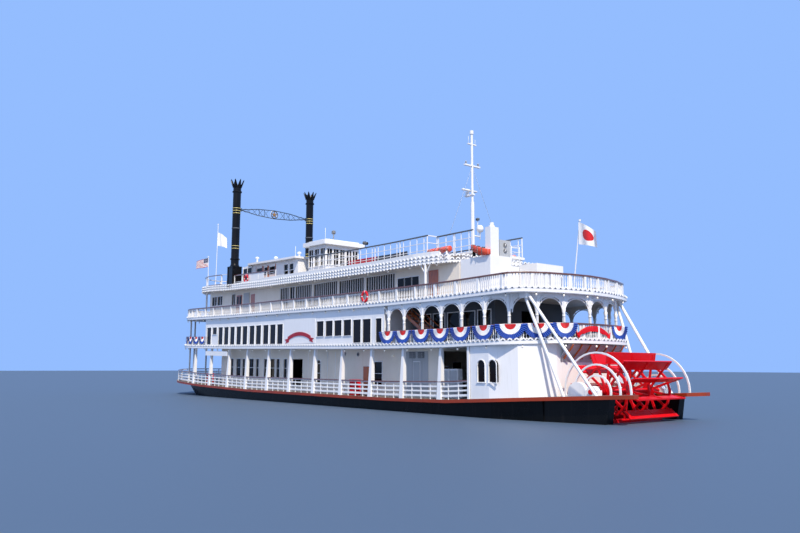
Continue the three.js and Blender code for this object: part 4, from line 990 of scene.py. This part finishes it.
def scallops(line, floor, lift, step, size):
    """Half discs along a deck's edge, points upwards, each with a small dark half disc in front as painted shade in
    place of a piercing.
    """
    for x, y, ax, ay in walk(line, step, step / 2):
        z = floor + lift(x)
        # The second, smaller half disc in dark grey is painted shade, the dark seen through a piercing.
        for radius, outs, finish in ((size, (0.0, 0.045), 0), (size * 0.45, (0.04, 0.05), 1)):
            arc = [(math.cos(math.pi * i / 4) * radius, math.sin(math.pi * i / 4) * radius) for i in range(5)]
            corners = [(x + ax * a + ay * n, y + ay * a - ax * n, z + up) for n in outs for a, up in arc]
            lace.add(corners, tube_faces(2, 5), finish)


SCALLOP_ROWS = [(EDGE_2, FLOOR_2 + 0.03, rise), (EDGE_3, FLOOR_3 + 0.03, rise)]
SCALLOP_ROWS += [(EDGE_4, FLOOR_4 + up, top_rise) for up in (-0.2, 0.02, 0.24)]
for edge, floor, line in SCALLOP_ROWS:
    scallops([(x, -y) for x, y in edge], floor, line, 0.38, 0.15)
    scallops(edge[::-1], floor, line, 0.38, 0.15)
BEAD = [
    (-0.02, -0.17), (0.035, -0.17), (0.035, -0.12), (0.012, -0.1),
    (0.012, -0.02), (0.035, 0.0), (0.035, 0.04), (-0.02, 0.04),
]
for edge, floor in ((EDGE_2, FLOOR_2), (EDGE_3, FLOOR_3)):
    for side in (1, -1):
        outline = [(-a * side, b) for a, b in BEAD]
        sweep(lace, lifted([(x, y * side) for x, y in edge], rise, floor), outline)
piece("deck_edge_lace", lace, [WHITE, DARK_GREY_AND_PAINTED_SHADE], corner=40)

# %% [markdown]
# ## Arcade
# Each slender column of the arcade spreads under the arches in a capital with two scrolls. A scroll is a bar bent
# along an arc, so a few short rods end to end give it, and the same bars make the brackets of the stern balcony.

# %% Capitals and scrolls
CAPITAL = [(0.07, 0), (0.1, 0.03), (0.1, 0.07), (0.07, 0.1), (0.07, 0.16), (0.13, 0.42), (0.1, 0.46)]
arcade = Shape()


def bent(shape, path, radius, sides=5, finish=0):
    """A bar bent along a path of points."""
    for start, end in zip(path, path[1:]):
        rod(shape, start, end, radius, sides, finish)


def capital(x, y, ax, ay, reach, top):
    turned(arcade, x, y, top - 1.3, CAPITAL, 8)
    for sign in (-1, 1):
        curl = []
        for i in range(7):
            t = i / 6
            along = sign * (0.05 + reach * (1 - math.cos(t * math.pi / 2)))
            curl.append((x + ax * along, y + ay * along, top - 1.1 + 0.98 * math.sin(t * math.pi / 2)))
        bent(arcade, curl, 0.045)
        hook = []
        for i in range(6):
            angle = math.pi * (0.9 - 1.25 * i / 5)
            along = sign * (reach * 0.42 + 0.13 * math.cos(angle))
            hook.append((x + ax * along, y + ay * along, top - 0.44 + 0.13 * math.sin(angle)))
        bent(arcade, hook, 0.03)


for side in (1, -1):
    for x in ARCADE_COLUMNS:
        capital(x, 5.24 * side, 1, 0, 0.46, DECK_3 + rise(x))
    capital(7.18, 4.77 * side, 0.86, 0.42 * side, 0.36, DECK_3 + rise(7.18))
    for x, y, ax, ay in ((6.0, 3.75, 0.5, 0.87), (5.5, 2.0, 0.25, 0.97)):
        capital(x, y * side, ax, ay * side, 0.4, DECK_3 + rise(x))
capital(5.18, 0, 0, 1, 0.4, DECK_3 + rise(5.18))
for side in (1, -1):
    bays = [((a, 5.24), (b, 5.24)) for a, b in zip(ARCADE_COLUMNS, ARCADE_COLUMNS[1:])]
    bays += [((8.68, 5.24), (7.18, 4.77)), ((7.1, 4.7), (6.0, 3.75))]
    bays += [((6.0, 3.75), (5.5, 2.0)), ((5.5, 2.0), (5.18, 0.0))]
    for (x0, y0), (x1, y1) in bays:
        long = math.hypot(x1 - x0, y1 - y0)
        arch = []
        for i in range(13):
            t = i / 12
            angle = math.pi * t
            along = 0.5 - 0.5 * math.cos(angle) * (1 - 0.14 / long)
            x, y = x0 + (x1 - x0) * along, (y0 + (y1 - y0) * along) * side
            arch.append((x, y, DECK_3 + rise(x) - 1.05 + 0.82 * math.sin(angle)))
        bent(arcade, arch, 0.035)
piece("arcade_scrolls", arcade, [WHITE], corner=60)

# %% [markdown]
# Under the stern balcony a curved panel, a cove, hides the beams, and varnished brackets follow its curve; the cove's
# grey is painted shade, the shade under the balcony. The cove is one outline stretched across the stern, and each
# bracket is a bent bar.

# %% Coved underside and brackets of the stern balcony
COVE = [
    (5.36, 3.15), (5.3, 3.45), (5.12, 3.72), (4.88, 3.95), (4.72, 4.2),
    (4.76, 4.23), (4.93, 3.99), (5.16, 3.77), (5.36, 3.5),
]
cove = Shape()
# The cove's grey is painted shade for the shade under the balcony.
corners = [(x, y, z) for y in (-2.6, 2.6) for x, z in COVE]
cove.add(corners, tube_faces(2, len(COVE)), 0)
BRACKET = [(5.3, 3.4), (5.22, 3.52), (5.04, 3.7), (4.8, 3.95), (4.62, 4.2)]
for i in range(7):
    y = -2.4 + 4.8 * i / 6
    bent(cove, [(x - 0.05, y, z) for x, z in BRACKET], 0.05, 6, 1)
piece("balcony_cove", cove, [GREY, DOOR_WOOD], corner=40)

# %% [markdown]
# ## The main deck's rail and wall
# The planked rail has a varnished cap and slim stanchions between the columns. Behind it the cabin wall carries
# louvred vents, a door, round loudspeakers and lockers. They are small, so each is a few blocks or a turned
# form set against the wall that carries it.

# %% Main deck rail and wall
CAP = [(-0.075, 0.0), (-0.075, 0.05), (-0.05, 0.08), (0.05, 0.08), (0.075, 0.05), (0.075, 0.0)]
RAIL_BAYS = (10.03, 12.6, 16.3, 19.8, 23.45, 27.2, 30.9, 34.6, 38.55, 42.25, 46.2)
main_trim = Shape()
for side in (1, -1):
    side_line = densified([(10.0, 5.24 * side), (51.4, 5.24 * side)])
    sweep(main_trim, lifted(side_line, guard_top, 1.03), CAP, 1)
    for x in [bay + 0.9 * step for bay in RAIL_BAYS for step in (1, 2, 3)]:
        rod(main_trim, (x, 5.24 * side, guard_top(x)), (x, 5.24 * side, guard_top(x) + 1.04), 0.035, 6)
    for x in (22.02, 46.7):
        z = guard_top(x) + 0.02
        block(main_trim, x - 0.46, x + 0.46, 4.97 * side - 0.16, 4.97 * side + 0.16, z, z + 1.05, 2)
        block(main_trim, x - 0.48, x + 0.48, 4.97 * side - 0.18, 4.97 * side + 0.18, z + 1.05, z + 1.11, 2)
bow_line = both_sides([(51.45, 5.24)] + [p for p in BOW_1 if p[0] > 51.7])
sweep(main_trim, lifted(densified(bow_line, 0.6), guard_top, 1.03), CAP, 1)
piece("main_rail_caps", main_trim, [WHITE, RAIL_WOOD, RED], corner=50)

main_wall = Shape()
for wall in side_walls(3.9):
    for x in (15.26, 15.86, 16.86, 17.6):
        wall_block(main_wall, wall(x), -0.03, 0.03, 0.0, 0.03, 0.98, 3.95, 1)
    wall_block(main_wall, wall(16.43), -1.17, 1.17, 0.0, 0.015, 0.98, 3.95, 1)
    wall_block(main_wall, wall(16.38), -0.36, 0.36, 0.0, 0.04, 1.0, 3.3, 0)
    wall_block(main_wall, wall(16.38), -0.31, 0.31, 0.015, 0.06, 1.05, 3.24, 1)
    for x in (16.86, 15.95):
        for slat in range(5):
            wall_block(main_wall, wall(x), -0.31, 0.31, 0.01, 0.06, 3.54 + 0.07 * slat, 3.57 + 0.07 * slat, 1)
        # The dark block behind the slats is painted shade, the dark inside of the vent.
        wall_block(main_wall, wall(x), -0.33, 0.33, 0.0, 0.03, 3.5, 3.9, 2)
    for x in (26.2, 27.3, 30.2, 46.0):
        wall_block(main_wall, wall(x), -0.02, 0.02, 0.0, 0.02, guard_top(x) + 0.1, 3.95 + rise(x), 0)
    wall_y = wall(0)[1]
    for x, z in ((23.17, 3.83), (24.92, 3.89)):
        for proud, size, finish in ((0.03, 0.16, 1), (0.06, 0.11, 2)):
            rod(main_wall, (x, wall_y, z), (x, wall_y + math.copysign(proud, wall_y), z), size, 12, finish)
    rod(main_wall, (18.93, wall_y, 3.67), (18.93, wall_y + math.copysign(0.12, wall_y), 3.67), 0.08, 8, 3)
piece("main_wall_fittings", main_wall, [WHITE, GREY, DARK_GREY_AND_PAINTED_SHADE, lamp_glass], corner=50)

lockers = Shape()
for side in (1, -1):
    for x0, x1 in ((12.4, 13.2), (13.25, 14.05)):
        z = guard_top(13) + 0.02
        block(lockers, x0, x1, 3.5 * side, 3.9 * side, z, 2.8, 0)
        block(lockers, x0 + 0.05, x1 - 0.05, 3.9 * side, 3.93 * side, z + 0.1, 2.72, 1)
piece("aft_lockers", lockers, [WHITE, GREY], bevel=0.012)

# %% [markdown]
# ## Stair behind the arcade
# An open stair climbs from the second deck to the third behind the arcade. It has two sloping strings, treads let
# in between them, and a handrail on each side, all in orange-brown varnish.

# %% Stair
STEPS = 11
stair = Shape()
for side in (1, -1):
    for step in range(STEPS):
        x = 14.2 + 3.6 * step / (STEPS - 1)
        z = FLOOR_2 + 0.12 + 2.3 * step / (STEPS - 1)
        block(stair, x - 0.14, x + 0.14, 3.95 * side - 0.32, 3.95 * side + 0.32, z, z + 0.05, 0)
    for y in (3.6, 4.3):
        corners = []
        for x, z in ((14.0, FLOOR_2 + 0.05), (17.95, FLOOR_2 + 2.58)):
            corners += [(x, y * side + w, z + h) for w in (-0.03, 0.03) for h in (-0.08, 0.2)]
        stair.add(corners, BOX_FACES, 0)
        rod(stair, (14.1, y * side, FLOOR_2 + 1.0), (16.7, y * side, FLOOR_2 + 2.62), 0.04, 6, 0)
        for x in (14.1, 15.4):
            z = FLOOR_2 + 0.1 + 2.3 * (x - 14.2) / 3.6
            rod(stair, (x, y * side, z), (x, y * side, z + 0.95), 0.03, 6, 0)
piece("arcade_stair", stair, [DOOR_WOOD], bevel=0.006)

# %% [markdown]
# ## Side panels, lifebuoys and lamps
# Small things along the decks' sides: a blank ribbon board on the cabin wall, a brown door and a grey locker on
# the third deck, ring lifebuoys on the rails, and white bulbs under each deck's edge. A lifebuoy is a ring with
# four bands, so one ring of sections whose finish changes gives it.

# %% Side panels, lifebuoys and lamps
WINE = enamel("wine red enamel", "#a5121f", "#7c0e18", 0.4)
side_panels = Shape()
for wall in side_walls(5.22):
    x, y, ax, ay = wall(29.5)
    floor = FLOOR_2 + rise(29.5)
    wall_block(side_panels, wall(29.5), -2.4, 2.4, 0.0, 0.02, floor + 0.22, DECK_3 - 0.42 + rise(29.5), 0)
    count, half = 16, 1.75
    for i in range(count):
        ends = [-half + 2 * half * (i + k) / count for k in (0, 1)]
        tops = [(a, floor + 1.06 - 0.36 * abs(a / half) ** 2) for a in ends]
        corners = [
            (x + ax * a, y + math.copysign(n, y), top + h) for a, top in tops for n in (0.02, 0.06) for h in (-0.2, 0.1)
        ]
        side_panels.add(corners, BOX_FACES, 1)
    for sign in (-1, 1):
        tail = ((1.6, 0.68), (1.6, 0.38), (2.15, 0.28), (2.0, 0.43), (2.25, 0.6))
        ends = [(sign * a, floor + h) for a, h in tail]
        corners = [(x + ax * a, y + math.copysign(n, y), z) for n in (0.02, 0.045) for a, z in ends]
        side_panels.add(corners, tube_faces(2, 5), 1)
for wall in side_walls(3.7):
    x = 43.45
    z = FLOOR_3 + rise(x)
    wall_block(side_panels, wall(x), -0.58, 0.58, 0.0, 0.03, z + 0.05, z + 2.12, 2)
    for a in (-0.29, 0.29):
        wall_block(side_panels, wall(x), a - 0.2, a + 0.2, 0.03, 0.045, z + 0.2, z + 0.95, 2)
        wall_block(side_panels, wall(x), a - 0.2, a + 0.2, 0.02, 0.04, z + 1.1, z + 2.0, 3)
    wall_block(side_panels, wall(41.9), -0.6, 0.6, 0.0, 0.05, z + 0.05, z + 2.2, 4)
    wall_block(side_panels, wall(14.9), -0.48, 0.48, 0.0, 0.03, FLOOR_3 + 0.03, FLOOR_3 + 2.1, 2)
    wall_block(side_panels, wall(13.3), -0.95, 0.95, 0.0, 0.02, FLOOR_3 + 0.05, FLOOR_3 + 2.3, 5)
    y = 4.6 if wall(0)[1] > 0 else -4.6
    rod(side_panels, (14.68, y, FLOOR_3), (14.68, y, DECK_4 + top_rise(14.68)), 0.09, 10, 0)
    for dx, dy in ((0.5, 0), (-0.5, 0), (0, math.copysign(0.45, -y))):
        rod(side_panels, (14.68, y, FLOOR_3 + 1.7), (14.68 + dx, y + dy, DECK_4 + top_rise(14.68)), 0.035, 6, 0)
for side in (1, -1):
    valance = [(x, 5.3 * side + n, z + rise(x)) for x in (42.35, 47.2) for n in (-0.02, 0.02) for z in (3.46, 3.9)]
    side_panels.add(valance, BOX_FACES, 0)
piece("side_panels", side_panels, [WHITE, WINE, DOOR_WOOD, tinted_glass_and_room_shade, GREY, CREAM], corner=40)


def lifebuoy(name, x, y, z):
    """A ring lifebuoy of 0.44 m radius, hung flat against a side rail."""
    buoy = Shape()
    around, sides = 32, 8
    corners = []
    for i in range(around):
        turn = 2 * math.pi * i / around
        for j in range(sides):
            small = 2 * math.pi * j / sides
            radius = 0.33 + 0.11 * math.cos(small)
            corners.append((x + radius * math.cos(turn), y + 0.05 * math.sin(small), z + radius * math.sin(turn)))
    faces = []
    for i in range(around):
        here, there = i * sides, (i + 1) % around * sides
        faces += [[here + j, here + (j + 1) % sides, there + (j + 1) % sides, there + j] for j in range(sides)]
    buoy.add(corners, faces)
    buoy.finishes = [1 if face // sides % 8 == 0 else 0 for face in range(len(faces))]  # four white bands
    block(buoy, x - 0.04, x + 0.04, y - math.copysign(0.2, y), y, z + 0.24, z + 0.3, 1)
    piece(name, buoy, [BUOY_RED, WHITE], corner=60)


for side, label in ((1, "port"), (-1, "stbd")):
    lifebuoy(f"lifebuoy_3_{label}", 20.34, 5.42 * side, 7.84)
    lifebuoy(f"lifebuoy_4_{label}", 40.4, 4.6 * side, 11.04)

LAMP_ROWS = [(EDGE_2, DECK_2, rise, 2.4), (EDGE_3, DECK_3, rise, 1.87), (EDGE_4, DECK_4, top_rise, 2.4)]
SOCKET = [(0.03, -0.001), (0.035, -0.05), (0.03, -0.06)]
BULB = [(0.03, -0.06), (0.06, -0.1), (0.06, -0.15), (0.03, -0.19)]
lamps = Shape()
for edge, floor, line, step in LAMP_ROWS:
    for side in (1, -1):
        for x, y, _, _ in walk([(a, b * side) for a, b in edge], step, 0.6):
            z = floor + line(x)
            turned(lamps, x, y - math.copysign(0.12, y), z, SOCKET, 6, 0)
            turned(lamps, x, y - math.copysign(0.12, y), z, BULB, 8, 1)
piece("deck_edge_lamps", lamps, [DARK_GREY_AND_PAINTED_SHADE, lamp_glass], corner=50)

# %% [markdown]
# ## Upper decks' fittings
# The top decks are open, so their rails, seats, floats, vents, lamps and aerials stand free above the houses. Posts and
# stays are thin bars, seats are boxes, and domes and searchlights are turned on a lathe.

# %% Sun deck rail and seats
sun_trim = Shape()
for side in (1, -1):
    for run in ([(15.97, 3.3), (31.0, 3.3)], [(12.45, 2.4), (15.95, 2.4)]):
        line = densified([(x, y * side) for x, y in run])
        sweep(sun_trim, lifted(line, top_rise, FLOOR_SUN + 1.37), [(a * 0.75, b) for a, b in CAP], 1)
        for x, y, _, _ in walk(line, 0.75, 0.375):
            rod(sun_trim, (x, y, FLOOR_SUN + top_rise(x)), (x, y, FLOOR_SUN + 1.4 + top_rise(x)), 0.028, 6)
    for x in [18.8 + 0.93 * i for i in range(8)]:
        z = FLOOR_SUN + top_rise(x)
        finish = 2 if x > 22.5 else 1
        block(sun_trim, x - 0.42, x + 0.42, 2.75 * side, 3.15 * side, z + 0.3, z + 0.38, finish)
        block(sun_trim, x - 0.42, x + 0.42, 3.1 * side, 3.16 * side, z + 0.38, z + 0.62, finish)
        for a in (-0.36, 0.36):
            block(sun_trim, x + a - 0.03, x + a + 0.03, 2.8 * side, 3.12 * side, z, z + 0.3, 1)
piece("sun_deck_trim", sun_trim, [WHITE, DARK_GREY_AND_PAINTED_SHADE, BUOY_RED], corner=50)

top_rails = Shape()
bow_4 = [p for p in BOW_4 if p[0] > 45.9]
bow_4_line = densified(both_sides([(45.9, bow_4[0][1])] + bow_4), 0.6)
for lift in (0.42, 1.38):
    sweep(top_rails, lifted(bow_4_line, top_rise, FLOOR_4 + lift), [(a * 0.8, b) for a, b in CAP], 0)
for side in (1, -1):
    side_4 = densified([(35.1, 4.45 * side), (43.1, 4.45 * side)])
    sweep(top_rails, lifted(side_4, top_rise, DECK_4 + 1.36), [(a * 0.7, b) for a, b in CAP], 0)
    panel = [
        (x, 4.45 * side + n, DECK_4 + z + top_rise(x))
        for x in (37.2, 40.2) for n in (-0.015, 0.015) for z in (0.62, 1.32)
    ]
    top_rails.add(panel, BOX_FACES, 1)
piece("top_rail_caps", top_rails, [RAIL_WOOD, WHITE], corner=50)

# %% [markdown]
# The floats, the orange slide, fans, ladder, mast fittings, vents and searchlights are bought-in gear bolted to the
# upper decks. Each is only a few forms, so they share one collector and four finishes.

# %% Rafts, vents and aerials
SLIDE = ((11.15, 10.55), (11.15, 10.2), (10.4, 9.78), (9.68, 9.78), (9.68, 10.1), (10.25, 10.25))
DOME = [(0.03, -0.5), (0.05, 0.0), (0.19, 0.06), (0.26, 0.2), (0.25, 0.36), (0.16, 0.5), (0.02, 0.55)]
SEARCHLIGHT = [(0.05, 0), (0.05, 0.45), (0.16, 0.5), (0.19, 0.62), (0.16, 0.78), (0.05, 0.82)]
fittings = Shape()
for side in (1, -1):
    for x in (14.35, 15.45):
        rod(fittings, (x - 0.5, 3.15 * side, 10.72), (x + 0.5, 3.15 * side, 10.72), 0.2, 12, 1)
        for a in (-0.32, 0.32):
            block(fittings, x + a - 0.04, x + a + 0.04, 2.95 * side, 3.35 * side, FLOOR_4, 10.56, 0)
            rod(fittings, (x + a - 0.03, 3.15 * side, 10.72), (x + a + 0.03, 3.15 * side, 10.72), 0.212, 12, 3)
fittings.add([(x, y, z) for y in (3.62, 3.86) for x, z in SLIDE], tube_faces(2, len(SLIDE)), 1)
for a in (10.2, 10.6, 11.0):
    block(fittings, a - 0.02, a + 0.02, 3.61, 3.88, 9.79, 10.3 + (a - 10.2) * 0.3, 3)
for z in (10.15, 10.5):
    rod(fittings, (9.69, 2.32, z), (9.66, 2.32, z), 0.15, 16, 3)
    for turn in range(4):
        angle = turn * math.pi / 4
        dy, dz = 0.15 * math.cos(angle), 0.15 * math.sin(angle)
        rod(fittings, (9.65, 2.32 - dy, z - dz), (9.65, 2.32 + dy, z + dz), 0.012, 4, 0)
for y in (0.95, 1.7):
    rod(fittings, (9.72, y, 9.15), (9.72, y, 10.5), 0.025, 6)
    rod(fittings, (9.72, y, 10.5), (10.9, y, 10.62), 0.025, 6)
    rod(fittings, (10.9, y, 9.15), (10.9, y, 10.62), 0.025, 6)
for z in (9.4, 9.65, 9.9, 10.15, 10.4):
    rod(fittings, (9.72, 0.95, z), (9.72, 1.7, z), 0.018, 5)
turned(fittings, 14.9, -0.72, 12.4, DOME, 16)
rod(fittings, (14.9, 0, 12.1), (14.9, -0.72, 12.1), 0.05, 6)
rod(fittings, (14.9, -0.5, 12.1), (14.9, -0.5, 13.3), 0.025, 6)
block(fittings, 14.78, 15.02, -0.58, -0.42, 13.25, 13.42, 2)
block(fittings, 15.1, 15.3, -0.7, 0.7, 15.36, 15.46, 0)
for y in (-0.6, 0.6):
    turned(fittings, 14.9, y, 17.2, [(0.03, 0), (0.06, 0.04), (0.06, 0.2), (0.02, 0.24)], 8, 2)
rod(fittings, (14.9, 0.33, 18.78), (14.9, 0.33, 19.3), 0.015, 5)
rod(fittings, (14.9, -0.33, 18.78), (14.9, -0.33, 19.15), 0.015, 5)
for y in (2.36, -2.36):
    rod(fittings, (14.9, 0, 17.1), (14.75, y, FLOOR_SUN + 1.42), 0.012, 4, 2)
roof = FLOOR_SUN + 2.72 + 0.48 + top_rise(32.6)
turned(fittings, 31.3, 0.9, roof - 0.02, SEARCHLIGHT, 12, 2)
turned(fittings, 32.9, -0.8, roof - 0.02, [(0.12, 0), (0.14, 0.08), (0.1, 0.2), (0.02, 0.26)], 12)
rod(fittings, (33.4, 0.4, roof - 0.02), (33.4, 0.4, roof + 1.4), 0.02, 5)
for side in (1, -1):
    top = FLOOR_SUN + 1.4 + top_rise(23.2)
    rod(fittings, (23.2, 3.3 * side, top), (23.2, 3.3 * side, top + 0.22), 0.03, 6, 2)
    rod(fittings, (23.0, 3.3 * side, top + 0.3), (23.42, 3.3 * side, top + 0.4), 0.12, 12, 3, tip=0.15)
texas_roof = FLOOR_4 + 2.45 + THIN_SLAB
for x, y, tall in ((36.2, 1.4, 0.45), (38.0, -1.2, 0.45), (40.4, 1.5, 0.35), (42.6, -0.6, 0.5), (45.4, 0.9, 0.75)):
    z = texas_roof + top_rise(x) - 0.02
    turned(fittings, x, y, z, [(0.1, 0), (0.1, tall), (0.2, tall + 0.04), (0.18, tall + 0.16), (0.04, tall + 0.22)], 12)
rod(fittings, (39.3, 0, texas_roof + top_rise(39.3)), (39.3, 0, texas_roof + top_rise(39.3) + 1.6), 0.02, 5)
for x in (35.4, 41.6):
    block(fittings, x - 0.4, x + 0.4, -1.5, -0.9, texas_roof + top_rise(x) - 0.03, texas_roof + top_rise(x) + 0.3, 0)
piece("upper_fittings", fittings, [WHITE, ORANGE, DARK_GREY_AND_PAINTED_SHADE, BLACK], bevel=0.006, corner=50)

texas_trim = Shape()
for wall in side_walls(2.3):
    for x, wide in ((39.6, 1.15), (42.15, 1.15), (40.87, 0.7)):
        z = FLOOR_4 + top_rise(x)
        wall_block(texas_trim, wall(x), -wide / 2 - 0.02, wide / 2 + 0.02, 0.0, 0.03, z + 0.5, z + 1.36, 0)
        for a in (-wide / 2 - 0.07, wide / 2 + 0.07):
            wall_block(texas_trim, wall(x), a - 0.04, a + 0.04, 0.0, 0.05, z + 0.05, z + 2.2, 1)
sill = FLOOR_4 + top_rise(44.6)
for side in (1, -1):
    for x0, x1 in ((43.62, 43.74), (44.6, 44.72), (45.58, 45.7)):
        block(texas_trim, x0, x1, 2.24 * side, 2.34 * side, sill, sill + 2.42, 2)
    block(texas_trim, 43.62, 45.7, 2.26 * side, 2.32 * side, sill, sill + 1.05, 2)
    block(texas_trim, 43.62, 45.7, 2.26 * side, 2.32 * side, sill + 2.2, sill + 2.42, 2)
    block(texas_trim, 43.7, 45.62, 2.28 * side, 2.3 * side, sill + 1.0, sill + 2.25, 3)
for y in (-2.24, -1.1, 0, 1.1, 2.24):
    block(texas_trim, 45.6, 45.7, y - 0.05, y + 0.05, sill, sill + 2.42, 2)
block(texas_trim, 45.62, 45.68, -2.24, 2.24, sill, sill + 1.05, 2)
block(texas_trim, 45.62, 45.68, -2.24, 2.24, sill + 2.2, sill + 2.42, 2)
block(texas_trim, 45.64, 45.66, -2.24, 2.24, sill + 1.0, sill + 2.25, 3)
piece("texas_trim", texas_trim, [PINK, DOOR_WOOD, WHITE, tinted_glass_and_room_shade], corner=50)
